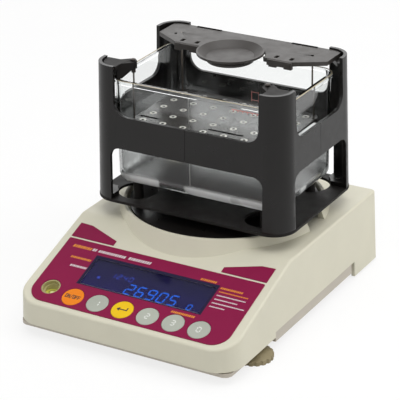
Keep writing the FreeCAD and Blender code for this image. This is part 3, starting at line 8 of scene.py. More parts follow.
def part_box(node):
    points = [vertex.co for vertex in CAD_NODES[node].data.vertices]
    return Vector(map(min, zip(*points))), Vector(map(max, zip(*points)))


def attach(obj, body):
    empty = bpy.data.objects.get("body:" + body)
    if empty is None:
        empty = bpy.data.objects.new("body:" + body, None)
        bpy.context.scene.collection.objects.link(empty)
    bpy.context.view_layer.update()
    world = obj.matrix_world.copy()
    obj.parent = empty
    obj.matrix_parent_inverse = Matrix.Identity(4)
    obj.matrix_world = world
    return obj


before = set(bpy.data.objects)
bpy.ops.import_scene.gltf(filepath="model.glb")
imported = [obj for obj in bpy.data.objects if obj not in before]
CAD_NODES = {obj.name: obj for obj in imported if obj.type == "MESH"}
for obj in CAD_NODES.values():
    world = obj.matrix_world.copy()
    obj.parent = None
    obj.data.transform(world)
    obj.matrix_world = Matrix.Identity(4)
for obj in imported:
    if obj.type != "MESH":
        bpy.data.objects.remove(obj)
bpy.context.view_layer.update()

# Metres throughout; +X right, +Y back, +Z up, as in the frame.
MM = 0.001
STAGE_Y = sum(corner.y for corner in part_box("frame_plate")) / 2


# ---------------------------------------------------------------- camera

# The photo's camera, fitted to the corners of the housing.
CAMERA_PLACE = Vector((0.6023, -1.0221, 0.6111))
CAMERA_RIGHT = Vector((0.8652, 0.5011, -0.0166))
CAMERA_UP = Vector((-0.1942, 0.3655, 0.9103))
CAMERA_BACK = Vector((0.4623, -0.7844, 0.4136))
FOCAL_PIXELS = 1891.4
PICTURE_PIXELS = 400
SENSOR = 36.0
CLIP_NEAR = 0.05
CLIP_FAR = 50


def make_camera():
    data = bpy.data.cameras.new("camera")
    data.sensor_width = SENSOR
    data.lens = FOCAL_PIXELS * SENSOR / PICTURE_PIXELS
    data.clip_start = CLIP_NEAR
    data.clip_end = CLIP_FAR
    item = bpy.data.objects.new("camera", data)
    turn = Matrix((CAMERA_RIGHT, CAMERA_UP, CAMERA_BACK)).transposed()
    item.matrix_world = Matrix.Translation(CAMERA_PLACE) @ turn.to_4x4()
    bpy.context.scene.collection.objects.link(item)
    bpy.context.scene.camera = item


# ---------------------------------------------------------------- node trees

# most values of a noise texture lie between these
NOISE_LOW = 0.3
NOISE_HIGH = 0.7


class Tree:
    """A node tree, with short calls to add and link nodes."""

    def __init__(self, tree):
        self.tree = tree
        self.tree.nodes.clear()

    def add(self, kind, **values):
        item = self.tree.nodes.new(kind)
        for key, value in values.items():
            setattr(item, key, value)
        return item

    def fill(self, socket, value):
        """Set an input to a value, or link it to another node's output."""
        if isinstance(value, bpy.types.NodeSocket):
            self.tree.links.new(value, socket)
        else:
            socket.default_value = value

    def combine(self, operation, first, second=None):
        item = self.add("ShaderNodeMath", operation=operation)
        self.fill(item.inputs[0], first)
        if second is not None:
            self.fill(item.inputs[1], second)
        return item.outputs["Value"]

    def blend(self, factor, first, second):
        """A mix of two shaders."""
        item = self.add("ShaderNodeMixShader")
        self.fill(item.inputs["Fac"], factor)
        self.fill(item.inputs[1], first)
        self.fill(item.inputs[2], second)
        return item.outputs["Shader"]

    def seen(self):
        """1 on the rays that show a surface: straight on, through the tank or in a mirror."""
        path = self.add("ShaderNodeLightPath").outputs
        direct = self.combine("MAXIMUM", path["Is Camera Ray"], path["Is Transmission Ray"])
        return self.combine("MAXIMUM", direct, path["Is Glossy Ray"])


class Look(Tree):
    """A material with one principled shader."""

    def __init__(self, name):
        self.material = bpy.data.materials.new(name)
        self.material.use_nodes = True
        super().__init__(self.material.node_tree)
        self.shader = self.add("ShaderNodeBsdfPrincipled")
        self.output = self.add("ShaderNodeOutputMaterial")
        self.fill(self.output.inputs["Surface"], self.shader.outputs["BSDF"])
        self.place = self.add("ShaderNodeTexCoord").outputs["Object"]

    def give(self, name, value):
        """Fill one of the shader's inputs."""
        self.fill(self.shader.inputs[name], value)

    def noise(self, size, detail, stretch=None, rough=0.5):
        """Noise whose grains are about size across."""
        item = self.add("ShaderNodeTexNoise")
        item.inputs["Scale"].default_value = 1 / size
        item.inputs["Detail"].default_value = detail
        item.inputs["Roughness"].default_value = rough
        source = self.place
        if stretch:
            mapping = self.add("ShaderNodeMapping")
            mapping.inputs["Scale"].default_value = stretch
            self.fill(mapping.inputs["Vector"], self.place)
            source = mapping.outputs["Vector"]
        self.fill(item.inputs["Vector"], source)
        return item.outputs["Fac"]

    def spread(self, source, low, high, from_low=NOISE_LOW, from_high=NOISE_HIGH):
        """Carry the range from_low to from_high over to low to high."""
        item = self.add("ShaderNodeMapRange")
        item.inputs["From Min"].default_value = from_low
        item.inputs["From Max"].default_value = from_high
        item.inputs["To Min"].default_value = low
        item.inputs["To Max"].default_value = high
        self.fill(item.inputs["Value"], source)
        return item.outputs["Result"]

    def mix(self, factor, first, second):
        """A mix of two colours."""
        item = self.add("ShaderNodeMix", data_type="RGBA")
        self.fill(item.inputs["Factor"], factor)
        self.fill(item.inputs["A"], first)
        self.fill(item.inputs["B"], second)
        return item.outputs["Result"]

    def bump(self, *heights):
        """A chain of bumps, each (source, height in metres)."""
        normal = None
        for source, height in heights:
            item = self.add("ShaderNodeBump")
            item.inputs["Distance"].default_value = height
            self.fill(item.inputs["Height"], source)
            if normal:
                self.fill(item.inputs["Normal"], normal)
            normal = item.outputs["Normal"]
        self.give("Normal", normal)

    def axes(self):
        """The object's own x, y and z at a point."""
        split = self.add("ShaderNodeSeparateXYZ")
        self.fill(split.inputs["Vector"], self.place)
        return split.outputs["X"], split.outputs["Y"], split.outputs["Z"]


def linear(red, green, blue):
    """A colour given as 0-255 display values, as the linear one that the shader takes."""
    def one(value):
        value /= 255
        return value / 12.92 if value <= 0.04045 else ((value + 0.055) / 1.055) ** 2.4
    return (one(red), one(green), one(blue), 1.0)


def shade(colour, factor):
    return tuple(channel * factor for channel in colour[:3]) + (1.0,)


# ---------------------------------------------------------------- materials

# moulded plastic: patches of tone, the slow waves in its face and patches of gloss
TONE_SIZE = 26 * MM
WAVE_SIZE = 9 * MM
GLOSS_SIZE = 7 * MM
GRAIN_ROUGH = 0.6


def moulded(name, colour, rough=0.42, grain=0.35 * MM, depth=0.006 * MM, mottle=0.05, specular=0.4,
            wave=0.012 * MM, gloss=0.05):
    """Injection-moulded plastic: a fine spark-eroded grain, a slow waviness and uneven gloss."""
    look = Look(name)
    tone = look.noise(TONE_SIZE, detail=3)
    fine = look.noise(grain, detail=2, rough=GRAIN_ROUGH)
    slow = look.noise(WAVE_SIZE, detail=1)
    patches = look.noise(GLOSS_SIZE, detail=4)
    low, high = shade(colour, 1 - mottle), shade(colour, 1 + mottle)
    look.give("Base Color", look.mix(look.spread(tone, 0, 1), low, high))
    look.give("Roughness", look.spread(patches, rough - gloss, rough + gloss))
    look.give("Specular IOR Level", specular)
    look.bump((slow, wave), (fine, depth))
    return look.material


# metal: fine lines along it and darker patches
METAL_LINE = 0.5 * MM
METAL_LINE_DEEP = 0.004 * MM
METAL_PATCH = 5 * MM
METAL_DARK = 0.8
METAL_SMOOTHER = 0.08
METAL_ROUGHER = 0.12


def metal(name, colour, rough, stretch=(1, 1, 12)):
    """Drawn or turned metal with fine lines along one way and darker patches."""
    look = Look(name)
    lines = look.noise(METAL_LINE, detail=2, stretch=stretch)
    patches = look.noise(METAL_PATCH, detail=3)
    look.give("Base Color", look.mix(look.spread(patches, 0, 1), shade(colour, METAL_DARK), colour))
    look.give("Roughness", look.spread(lines, rough - METAL_SMOOTHER, rough + METAL_ROUGHER))
    look.give("Metallic", 1.0)
    look.bump((lines, METAL_LINE_DEEP))
    return look.material


# clear plastic: flow lines in its faces and a faint haze
FLOW_SIZE = 14 * MM
FLOW_STRETCH = (1, 1, 0.3)
HAZE_SIZE = 30 * MM
WINDOW_ROUGH = (0.02, 0.05)
WINDOW_FLOW_DEEP = 0.02 * MM
WINDOW_INDEX = 1.2


def tinted_window(name, colour):
    """A clear tinted sheet; its index is low, so that the figures under it stay where they are."""
    look = Look(name)
    look.give("Base Color", colour)
    look.give("Roughness", look.spread(look.noise(HAZE_SIZE, detail=2), *WINDOW_ROUGH))
    look.give("Transmission Weight", 1.0)
    look.give("IOR", WINDOW_INDEX)
    look.bump((look.noise(FLOW_SIZE, detail=1, stretch=FLOW_STRETCH), WINDOW_FLOW_DEEP))
    return look.material


# painted highlight at the tank's foot, where its pale colour stands in for the light seen there: how far in
# from the walls that starts and is full, and how high it reaches
FOOT_BAND = 12 * MM
FOOT_BAND_FULL = 8.4 * MM
FOOT_TOP = 7.2 * MM
FOOT_TOP_END = 9.6 * MM
FOOT_CLEARNESS = 0.35
STREAK_SIZE = 16 * MM
STREAK_STRETCH = (1, 1, 0.05)
STREAK_LEAST = 0.1
STREAK_FROM = 0.46
STREAK_TO = 0.54
# painted shade: the wall between the foot and this height is darker, and less sharp
SHADE_TOP = 100 * MM
SHADE_TOP_END = 104 * MM
SHADE_FACTOR = 0.62
TANK_ROUGH = (0.02, 0.04)
TANK_BLUR = 0.16
TANK_FLOW_DEEP = 0.004 * MM
TANK_INDEX = 1.4


def tank_acrylic(name, colour):
    """Clear acrylic with a painted highlight at its foot, in uneven streaks, and painted shade on its lower
    wall.
    """
    look = Look(name)
    low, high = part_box("tank")
    x, y, z = look.axes()
    from_side = look.combine("SUBTRACT", look.combine("ABSOLUTE", x), high.x - FOOT_BAND)
    from_front = look.combine("SUBTRACT", look.combine("ABSOLUTE", look.combine("SUBTRACT", y, STAGE_Y)),
                              (high.y - low.y) / 2 - FOOT_BAND)
    near_wall = look.spread(look.combine("MAXIMUM", from_side, from_front), 0, 1, 0, FOOT_BAND_FULL)
    near_foot = look.spread(z, 1, 0, low.z + FOOT_TOP, low.z + FOOT_TOP_END)
    streaks = look.spread(look.noise(STREAK_SIZE, detail=1, stretch=STREAK_STRETCH), STREAK_LEAST, 1,
                          STREAK_FROM, STREAK_TO)
    # painted highlight: near the walls at the foot the acrylic is less clear, so its pale colour shows, lit
    # by the lamps, in streaks
    foot_highlight = look.combine("MULTIPLY", look.combine("MULTIPLY", near_wall, near_foot), streaks)
    above_foot = look.spread(z, 0, 1, low.z + FOOT_TOP, low.z + FOOT_TOP_END)
    below_top = look.spread(z, 1, 0, SHADE_TOP, SHADE_TOP_END)
    # painted shade: the wall above the foot is darker up to the top of this band
    wall_shade = look.combine("MULTIPLY", above_foot, below_top)
    haze = look.spread(look.noise(HAZE_SIZE, detail=2), *TANK_ROUGH)
    blur = look.combine("MULTIPLY", look.combine("ADD", foot_highlight, wall_shade), TANK_BLUR)
    look.give("Base Color", look.mix(wall_shade, colour, shade(colour, SHADE_FACTOR)))
    look.give("Roughness", look.combine("ADD", haze, blur))
    look.give("Transmission Weight", look.spread(foot_highlight, 1, FOOT_CLEARNESS, 0, 1))
    look.give("IOR", TANK_INDEX)
    look.bump((look.noise(FLOW_SIZE, detail=1, stretch=FLOW_STRETCH), TANK_FLOW_DEEP))
    return look.material


# ink: how its film varies in tone, height and gloss
FILM_GRAIN = 0.5 * MM
FILM_UNEVEN = 0.004 * MM
FILM_THIN = 0.88
FILM_ROUGH = (0.3, 0.45)


def ink(name, colour):
    """Screen-printed ink with a slightly uneven film."""
    look = Look(name)
    film = look.noise(FILM_GRAIN, detail=3)
    look.give("Base Color", look.mix(look.spread(film, 0, 1), shade(colour, FILM_THIN), colour))
    look.give("Roughness", look.spread(film, *FILM_ROUGH))
    look.bump((film, FILM_UNEVEN))
    return look.material


# a lit area is darker in patches
GLOW_PATCH = 8 * MM
GLOW_DIM = 0.75
GLASS_ROUGH = 0.3


def glowing(name, colour, strength, back=0.0, upper=None):
    """A lit display area, a little uneven, over its own dark colour; upper is its colour at the far edge."""
    look = Look(name)
    tint = look.mix(look.spread(look.noise(GLOW_PATCH, detail=2), 0, 1), shade(colour, GLOW_DIM), colour)
    if upper:
        low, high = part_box("display_window")
        height = look.axes()[2]
        tint = look.mix(look.spread(height, 0, 1, low.z, high.z), tint, upper)
    look.give("Emission Color", tint)
    look.give("Emission Strength", strength)
    look.give("Base Color", shade(colour, back))
    look.give("Roughness", GLASS_ROUGH)
    return look.material


# the copper runs on a board
RUN_PITCH = 6 * MM
RUN_WIDE = 0.06
RUN_TALL = 0.02 * MM
MASK_ROUGH = 0.3


def soldermask(name):
    """A green board with copper runs under the mask."""
    look = Look(name)
    runs = look.add("ShaderNodeTexBrick")
    runs.inputs["Scale"].default_value = 1 / RUN_PITCH
    runs.inputs["Mortar Size"].default_value = RUN_WIDE
    runs.inputs["Color1"].default_value = linear(20, 90, 50)
    runs.inputs["Color2"].default_value = linear(24, 100, 56)
    runs.inputs["Mortar"].default_value = linear(60, 130, 70)
    look.fill(runs.inputs["Vector"], look.place)
    look.give("Base Color", runs.outputs["Color"])
    look.give("Roughness", MASK_ROUGH)
    look.bump((runs.outputs["Fac"], RUN_TALL))
    return look.material


LOOKS = {
    "cream": moulded("cream_plastic", linear(222, 218, 198), rough=0.45, mottle=0.02),
    "under": moulded("under_plastic", linear(198, 190, 177), rough=0.5, mottle=0.03),
    "maroon": moulded("maroon_sheet", linear(138, 26, 70), rough=0.5, grain=0.5 * MM, depth=0.005 * MM,
                      mottle=0.04, specular=0.1),
    "black": moulded("black_plastic", linear(21, 19, 18), rough=0.32, mottle=0.12, specular=0.31),
    "black_matt": moulded("black_matt_plastic", linear(30, 28, 27), rough=0.5, mottle=0.12, specular=0.12),
    "black_satin": moulded("black_satin_plastic", linear(52, 48, 45), rough=0.46, mottle=0.1, specular=0.5),
    "tray": moulded("tray_plastic", linear(70, 68, 66), rough=0.26, mottle=0.04, depth=0.001 * MM,
                    specular=0.6, wave=0.001 * MM, gloss=0.01),
    "orange": moulded("orange_key", linear(246, 136, 10), rough=0.4, mottle=0.04, specular=0.25),
    "yellow": moulded("yellow_key", linear(244, 200, 8), rough=0.4, mottle=0.03, specular=0.25),
    "grey": moulded("grey_key", linear(178, 182, 170), rough=0.33, mottle=0.06),
    "khaki": moulded("khaki_plastic", linear(150, 138, 106), rough=0.5, mottle=0.08),
    "olive": moulded("olive_plastic", linear(178, 170, 120), rough=0.4, mottle=0.06),
    "vial": moulded("vial_fluid", linear(206, 206, 92), rough=0.12, mottle=0.03, specular=0.6),
    "bubble": moulded("vial_bubble", linear(232, 232, 170), rough=0.08, mottle=0.03, specular=0.7),
    "rubber": moulded("foot_rubber", linear(40, 40, 40), rough=0.8, mottle=0.1, depth=0.02 * MM),
    "chip": moulded("chip_black", linear(30, 30, 32), rough=0.6),
    # pale and opaque, painted as the light line along the tank's rim
    "rim_glint": moulded("tank_rim_glint", linear(184, 174, 150), rough=0.4, mottle=0.12, specular=0.2),
    "mould_line": moulded("acrylic_mould_line", linear(176, 176, 172), rough=0.4, mottle=0.05),
    # pale rings painted as the glints of light round the tray's holes
    "hole_glint": moulded("tray_hole_glint", linear(232, 230, 222), rough=0.3, mottle=0.04),
    "sleeve": moulded("sleeve_plastic", linear(52, 44, 38), rough=0.4, mottle=0.1),
    "knob": moulded("knob_plastic", linear(50, 40, 34), rough=0.35, mottle=0.1, specular=0.3),
    "border": moulded("window_border", linear(46, 42, 66), rough=0.6, mottle=0.05, specular=0.03),
    # near-black and matt, painted as shade: in the tray's grooves, on the lips' front faces and in the pin
    # holes
    "painted_shade_black": moulded("tray_shade_black", linear(14, 13, 12), rough=0.8, mottle=0.1, specular=0.0),
    "brass": metal("brass", linear(196, 160, 90), rough=0.3, stretch=(1, 1, 1)),
    "steel": metal("plated_steel", linear(190, 188, 184), rough=0.3),
    "rod": metal("drawn_rod", linear(120, 112, 104), rough=0.25),
    "aluminium": metal("milled_aluminium", linear(200, 200, 204), rough=0.35, stretch=(6, 1, 1)),
    "acrylic": tank_acrylic("clear_acrylic", (0.95, 0.965, 0.96, 1)),
    "window": tinted_window("window_tint", (0.34, 0.34, 0.52, 1)),
    "board": soldermask("green_board"),
    "lcd": glowing("display_back", linear(48, 36, 120), 0.62, back=0.15, upper=linear(34, 32, 50)),
    "digit": glowing("display_digit", linear(24, 112, 208), 2.3),
    "digit_faint": glowing("display_faint", linear(60, 84, 176), 2.0),
    "white_ink": ink("white_ink", linear(228, 214, 218)),
    "orange_ink": ink("orange_ink", linear(232, 140, 30)),
    "dark_ink": ink("dark_ink", linear(46, 22, 10)),
    "pale_ink": ink("pale_ink", linear(232, 234, 228)),
    "red_ink": ink("red_ink", linear(240, 146, 138)),
    "line": ink("engraved_line", linear(24, 22, 20)),
}

CORNERS = ["frame_corner_fl", "frame_corner_fr", "frame_corner_rl", "frame_corner_rr"]

NODE_LOOKS = {
    "cream": ["top_cover"],
    "under": ["bottom_cover"],
    "maroon": ["panel_overlay", "badge_left", "badge_right"],
    "window": ["display_window"],
    "lcd": ["display_module"],
    "orange": ["key_power"],
    "yellow": ["key_enter"],
    "grey": ["key_mode", "key_a", "key_b", "key_zero"],
    "brass": ["foot_nut_left", "foot_nut_right"],
    "olive": ["level_cup"],
    "vial": ["level_vial"],
    "board": ["key_board", "main_board"],
    "chip": ["key_switches", "main_chip", "dc_jack"],
    "steel": ["board_screws", "cell_screws", "cover_screws", "spider_screws", "frame_screws", "serial_port",
              "foot_stud_left", "foot_stud_right"],
    "aluminium": ["load_cell", "cell_block", "pan_spider"],
    "khaki": ["foot_wheel_left", "foot_wheel_right"],
    "rubber": ["rear_foot_left", "rear_foot_right"],
    "black": CORNERS + ["pan"],
    "black_matt": ["frame_plate", "plate_ring", "arm_left", "arm_right", "tank_posts"],
    "black_satin": ["top_plate", "air_dish"],
    "tray": ["tray"],
    "rod": ["hanger_rods"],
    "sleeve": ["rod_ferrules"],
    "acrylic": ["tank"],
}

# CAD nodes whose sharp edges are broken, over how much, and from which angle on
SOFTENED = ["top_plate", "arm_left", "arm_right"] + CORNERS + ["frame_plate"]
SOFT_EDGE = 0.35 * MM
SOFT_ANGLE = math.radians(35)
EDGE_SEGMENTS = 2
WELD = 0.002 * MM


def dress_nodes():
    for look, names in NODE_LOOKS.items():
        for name in names:
            slots = CAD_NODES[name].data.materials
            slots.clear()
            slots.append(LOOKS[look])


def soften_nodes():
    """Break the sharp edges of some CAD nodes, as a mould does."""
    for name in SOFTENED:
        item = CAD_NODES[name]
        weld = item.modifiers.new("weld", "WELD")
        weld.merge_threshold = WELD
        bevel = item.modifiers.new("edge", "BEVEL")
        bevel.width = SOFT_EDGE
        bevel.segments = EDGE_SEGMENTS
        bevel.limit_method = "ANGLE"
        bevel.angle_limit = SOFT_ANGLE
        bevel.harden_normals = True


# ---------------------------------------------------------------- new pieces


def mesh_of(name, build):
    """A mesh that build(bm) fills."""
    bm = bmesh.new()
    build(bm)
    bmesh.ops.recalc_face_normals(bm, faces=bm.faces)
    mesh = bpy.data.meshes.new(name)
    bm.to_mesh(mesh)
    bm.free()
    return mesh


def piece(name, build, look, body):
    """A new piece whose mesh build(bm) fills, and which moves with a body."""
    mesh = mesh_of(name, build)
    mesh.materials.append(LOOKS[look])
    item = bpy.data.objects.new(name, mesh)
    bpy.context.scene.collection.objects.link(item)
    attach(item, body)


def block(bm, low, high):
    """A box between two corners."""
    corners = [bm.verts.new((x, y, z)) for x in (low[0], high[0]) for y in (low[1], high[1])
               for z in (low[2], high[2])]
    for face in ((0, 1, 3, 2), (4, 6, 7, 5), (0, 4, 5, 1), (2, 3, 7, 6), (0, 2, 6, 4), (1, 5, 7, 3)):
        bm.faces.new([corners[index] for index in face])


def disc(x, y, radius, sides=40):
    angles = [2 * math.pi * index / sides for index in range(sides)]
    return [(x + radius * math.cos(angle), y + radius * math.sin(angle)) for angle in angles]


def turned(bm, profile, centre, sides):
    """A solid turned about an upright axis, from (radius, height) points."""
    x, y, base = centre
    rings = [[bm.verts.new((*spot, base + height)) for spot in disc(x, y, radius, sides)]
             for radius, height in profile]
    for lower, upper in zip(rings, rings[1:]):
        for index in range(sides):
            after = (index + 1) % sides
            bm.faces.new((lower[index], lower[after], upper[after], upper[index]))
    bm.faces.new(rings[0][::-1])
    bm.faces.new(rings[-1])


def ring(bm, outer, inner, low, high, to_point):
    """A flat ring between two outlines with as many points each, put in place by to_point."""
    loops = [[bm.verts.new(to_point(x, y, level)) for x, y in outline]
             for outline, level in ((outer, low), (outer, high), (inner, high), (inner, low))]
    for first, second in zip(loops, loops[1:] + loops[:1]):
        for index in range(len(outer)):
            after = (index + 1) % len(outer)
            bm.faces.new((first[index], first[after], second[after], second[index]))


def upright(x, y, z):
    return Vector((x, y, z))


# ---------------------------------------------------------------- shapes on the sloped panel

# the CAD panel's sheet and its slope
SHEET = 0.5 * MM
SLOPE_RISE = 30.1 * MM
SLOPE_RUN = 86.92 * MM
SLOPE = math.atan2(SLOPE_RISE, SLOPE_RUN)
INK = 0.03 * MM
OVERLAY_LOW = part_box("panel_overlay")[0]
SLOPE_ZERO = Vector((0, OVERLAY_LOW.y + SHEET * math.sin(SLOPE), OVERLAY_LOW.z))
ALONG = Vector((0, math.cos(SLOPE), math.sin(SLOPE)))
OUT = Vector((0, -math.sin(SLOPE), math.cos(SLOPE)))
ACROSS = Vector((1, 0, 0))


def on_slope(x, along, out):
    """A point across the panel, along it from its near edge, and out from the face under its sheet."""
    return SLOPE_ZERO + ACROSS * x + ALONG * along + OUT * out


def printed(name, outlines, look, body="base", out=SHEET):
    """Flat printed shapes on the slope, each an outline of (x, along)."""
    def build(bm):
        for outline in outlines:
            bottom = [bm.verts.new(on_slope(x, along, out)) for x, along in outline]
            top = [bm.verts.new(on_slope(x, along, out + INK)) for x, along in outline]
            bm.faces.new(top)
            bm.faces.new(bottom[::-1])
            for index in range(len(outline)):
                after = (index + 1) % len(outline)
                bm.faces.new((bottom[index], bottom[after], top[after], top[index]))
    piece(name, build, look, body)


def bar(x, along, long, tall, lean=0.0):
    shift = lean * tall
    return [(x, along), (x + long, along), (x + long + shift, along + tall), (x + shift, along + tall)]


# seven-segment figures: a to g, as (start, end) corners on a grid one wide and two high
SEGMENTS = {"a": ((0, 2), (1, 2)), "b": ((1, 2), (1, 1)), "c": ((1, 1), (1, 0)), "d": ((0, 0), (1, 0)),
            "e": ((0, 1), (0, 0)), "f": ((0, 2), (0, 1)), "g": ((0, 1), (1, 1))}
FIGURES = {"0": "abcdef", "1": "bc", "2": "abged", "3": "abgcd", "4": "fgbc", "5": "afgcd", "6": "afgedc",
           "9": "abcdfg"}
FIGURE_LEAN = 0.12
SEGMENT_GAP = 0.15


def figure(digit, x, along, wide, tall, thick, lean=FIGURE_LEAN):
    """The bars of one figure, each with pointed ends and a gap of part of its thickness."""
    outlines = []
    for key in FIGURES[digit]:
        (x0, y0), (x1, y1) = SEGMENTS[key]
        start = Vector((x0 * wide, y0 * tall / 2))
        end = Vector((x1 * wide, y1 * tall / 2))
        way = (end - start).normalized()
        side = Vector((-way.y, way.x)) * thick / 2
        start += way * thick * SEGMENT_GAP
        end -= way * thick * SEGMENT_GAP
        corners = (start, start + way * thick / 2 + side, end - way * thick / 2 + side, end,
                   end - way * thick / 2 - side, start + way * thick / 2 - side)
        outlines.append([(x + spot.x + lean * spot.y, along + spot.y) for spot in corners])
    return outlines


def figures(text, x, along, pitch, size):
    """A row of figures from x on; size is their width, height and thickness of line."""
    outlines = []
    for place, digit in enumerate(text):
        outlines += figure(digit, x + place * pitch, along, *size)
    return outlines


# ---------------------------------------------------------------- display

# the CAD window across and along the panel, and the ink round its edge
WINDOW_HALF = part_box("display_window")[1].x
WINDOW_START = 22.3 * MM
WINDOW_END = 50.2 * MM
BORDER_SIDE = 1.8 * MM
BORDER_HIGH = 2.2 * MM
BORDER_LOW = 0.4 * MM
BORDER_OVER = 0.25 * MM
# the figures lie on the display's glass, under the window
DISPLAY_OUT = -0.93 * MM
READING = "26905"
DIGIT_SIZE = (5.2 * MM, 8.8 * MM, 1.15 * MM)
DIGIT_PITCH = 8.4 * MM
DIGIT_X = -13.1 * MM
DIGIT_ALONG = 24.5 * MM
UNIT_SIZE = (3.0 * MM, 4.6 * MM, 0.8 * MM)
UNIT_X = 35.4 * MM
FAINT_READING = "1240"
FAINT_SIZE = (2.4 * MM, 4.0 * MM, 0.6 * MM)
FAINT_PITCH = 4.6 * MM
FAINT_X = -29 * MM
FAINT_ALONG = 35.4 * MM
DOT_X = -38 * MM
DOT_ALONG = 31.4 * MM
DOT_SIDE = 2.2 * MM


def make_display():
    lit = figures(READING, DIGIT_X, DIGIT_ALONG, DIGIT_PITCH, DIGIT_SIZE)
    lit += figure("0", UNIT_X, DIGIT_ALONG, *UNIT_SIZE)
    printed("display_figures", lit, "digit", out=DISPLAY_OUT)
    faint = figures(FAINT_READING, FAINT_X, FAINT_ALONG, FAINT_PITCH, FAINT_SIZE)
    faint.append(bar(DOT_X, DOT_ALONG, DOT_SIDE, DOT_SIDE))
    printed("display_small_row", faint, "digit_faint", out=DISPLAY_OUT)

    def border(bm):
        outside, inside = WINDOW_HALF + BORDER_OVER, WINDOW_HALF - BORDER_SIDE
        near, far = WINDOW_START - BORDER_OVER, WINDOW_END + BORDER_OVER
        outer = [(-outside, near), (outside, near), (outside, far), (-outside, far)]
        near, far = WINDOW_START + BORDER_LOW, WINDOW_END - BORDER_HIGH
        inner = [(-inside, near), (inside, near), (inside, far), (-inside, far)]
        ring(bm, outer, inner, SHEET, SHEET + INK, on_slope)
    piece("window_border", border, "border", "base")


# ---------------------------------------------------------------- print on the panel

# the blocks' widths in turn; the rest are shares of a row's height
WORD_BLOCKS = (1.0, 0.7, 1.15, 0.85, 1.05, 0.6, 0.95, 0.8)
WORD_BLOCK = 0.62
WORD_GAP = 0.2
WORD_LEAN = 0.2

# start, distance up the slope, length and height of the rows on the panel, in mm
ORANGE_WORDS = ((-70, 53.0, 15, 2.5), (-66, 43.2, 16, 1.8), (32.5, 51.2, 12.5, 1.8), (49.5, 47.6, 17, 1.7),
                (50, 44.6, 22, 1.0), (28, 18.0, 17.5, 1.8))
WHITE_WORDS = ((-54.4, 53.2, 3.2, 2.4), (-49.5, 53.2, 22, 2.2), (-25.4, 53.3, 18, 2.4), (-62, 35.6, 13, 1.8),
               (50.2, 41.2, 21.5, 1.0), (50.3, 37.6, 17, 1.0), (50.2, 34.1, 24, 1.0), (50.1, 30.7, 11.5, 1.0))


def word(x, along, long, tall):
    """A row of leaning blocks that fills the place of a printed word."""
    shapes = []
    gap = tall * WORD_GAP
    at, place = x, 0
    while at < x + long - gap:
        wide = min(tall * WORD_BLOCK * WORD_BLOCKS[place % len(WORD_BLOCKS)], x + long - at)
        shapes.append(bar(at, along, wide, tall, lean=WORD_LEAN))
        at += wide + gap
        place += 1
    return shapes


def make_panel_print():
    for name, words in (("orange", ORANGE_WORDS), ("white", WHITE_WORDS)):
        shapes = []
        for row in words:
            shapes += word(*(value * MM for value in row))
        printed(f"panel_{name}_print", shapes, f"{name}_ink")


# ---------------------------------------------------------------- marks on the keys

KEY_ALONG = 9.8 * MM
KEY_OUT = SHEET + 0.1 * MM

# letters for ON/OFF, as strokes on a grid one wide and two high
LETTERS = {"O": (((0, 0), (0, 2)), ((0, 2), (1, 2)), ((1, 2), (1, 0)), ((1, 0), (0, 0))),
           "N": (((0, 0), (0, 2)), ((0, 2), (1, 0)), ((1, 0), (1, 2))),
           "F": (((0, 0), (0, 2)), ((0, 2), (1, 2)), ((0, 1), (0.8, 1))),
           "/": (((0, -0.2), (1, 2.2)),)}
LETTER_WIDE = 1.25 * MM
LETTER_TALL = 2.8 * MM
LETTER_PITCH = 1.95 * MM
LETTER_THICK = 0.52 * MM

# the enter key's arrow: its tip left of the key's middle, its head, its shaft from the tip on, and its
# upright end right of the middle
ARROW_TIP = 4.2 * MM
ARROW_HEAD_LONG = 2.2 * MM
ARROW_HEAD_HALF = 1.8 * MM
ARROW_THICK = 0.9 * MM
ARROW_SHAFT_FROM = 2 * MM
ARROW_SHAFT_LONG = 6 * MM
ARROW_END_X = 2.9 * MM
ARROW_END_TALL = 2 * MM

KEY_FIGURES = {"key_mode": "1", "key_a": "2", "key_b": "3", "key_zero": "0"}
KEY_FIGURE_SIZE = (2.6 * MM, 4.2 * MM, 0.85 * MM)
KEY_FIGURE_LEFT = 1.4 * MM
KEY_FIGURE_BELOW = 2.1 * MM


def stroke(start, end, thick):
    """A bar from start to end, with its ends carried on by half its thickness."""
    way = (end - start).normalized()
    side = Vector((-way.y, way.x)) * thick / 2
    start, end = start - way * thick / 2, end + way * thick / 2
    return [tuple(corner) for corner in (start - side, end - side, end + side, start + side)]


def lettering(text, x, along):
    """Strokes of a short text whose middle is at x and along."""
    shapes = []
    left = x - (LETTER_PITCH * (len(text) - 1) + LETTER_WIDE) / 2
    for place, letter in enumerate(text):
        base = Vector((left + place * LETTER_PITCH, along - LETTER_TALL / 2))
        for (x0, y0), (x1, y1) in LETTERS[letter]:
            shapes.append(stroke(base + Vector((x0 * LETTER_WIDE, y0 * LETTER_TALL / 2)),
                                 base + Vector((x1 * LETTER_WIDE, y1 * LETTER_TALL / 2)), LETTER_THICK))
    return shapes


def arrow(x, along):
    """A shaft, an upright end and a head, for a key whose middle is at x and along."""
    tip = x - ARROW_TIP
    head = tip + ARROW_HEAD_LONG
    low, high = along - ARROW_THICK / 2, along + ARROW_THICK / 2
    return [bar(tip + ARROW_SHAFT_FROM, low, ARROW_SHAFT_LONG, ARROW_THICK),
            bar(x + ARROW_END_X, high, ARROW_THICK, ARROW_END_TALL),
            [(tip, along), (head, along - ARROW_HEAD_HALF), (head, along + ARROW_HEAD_HALF)]]


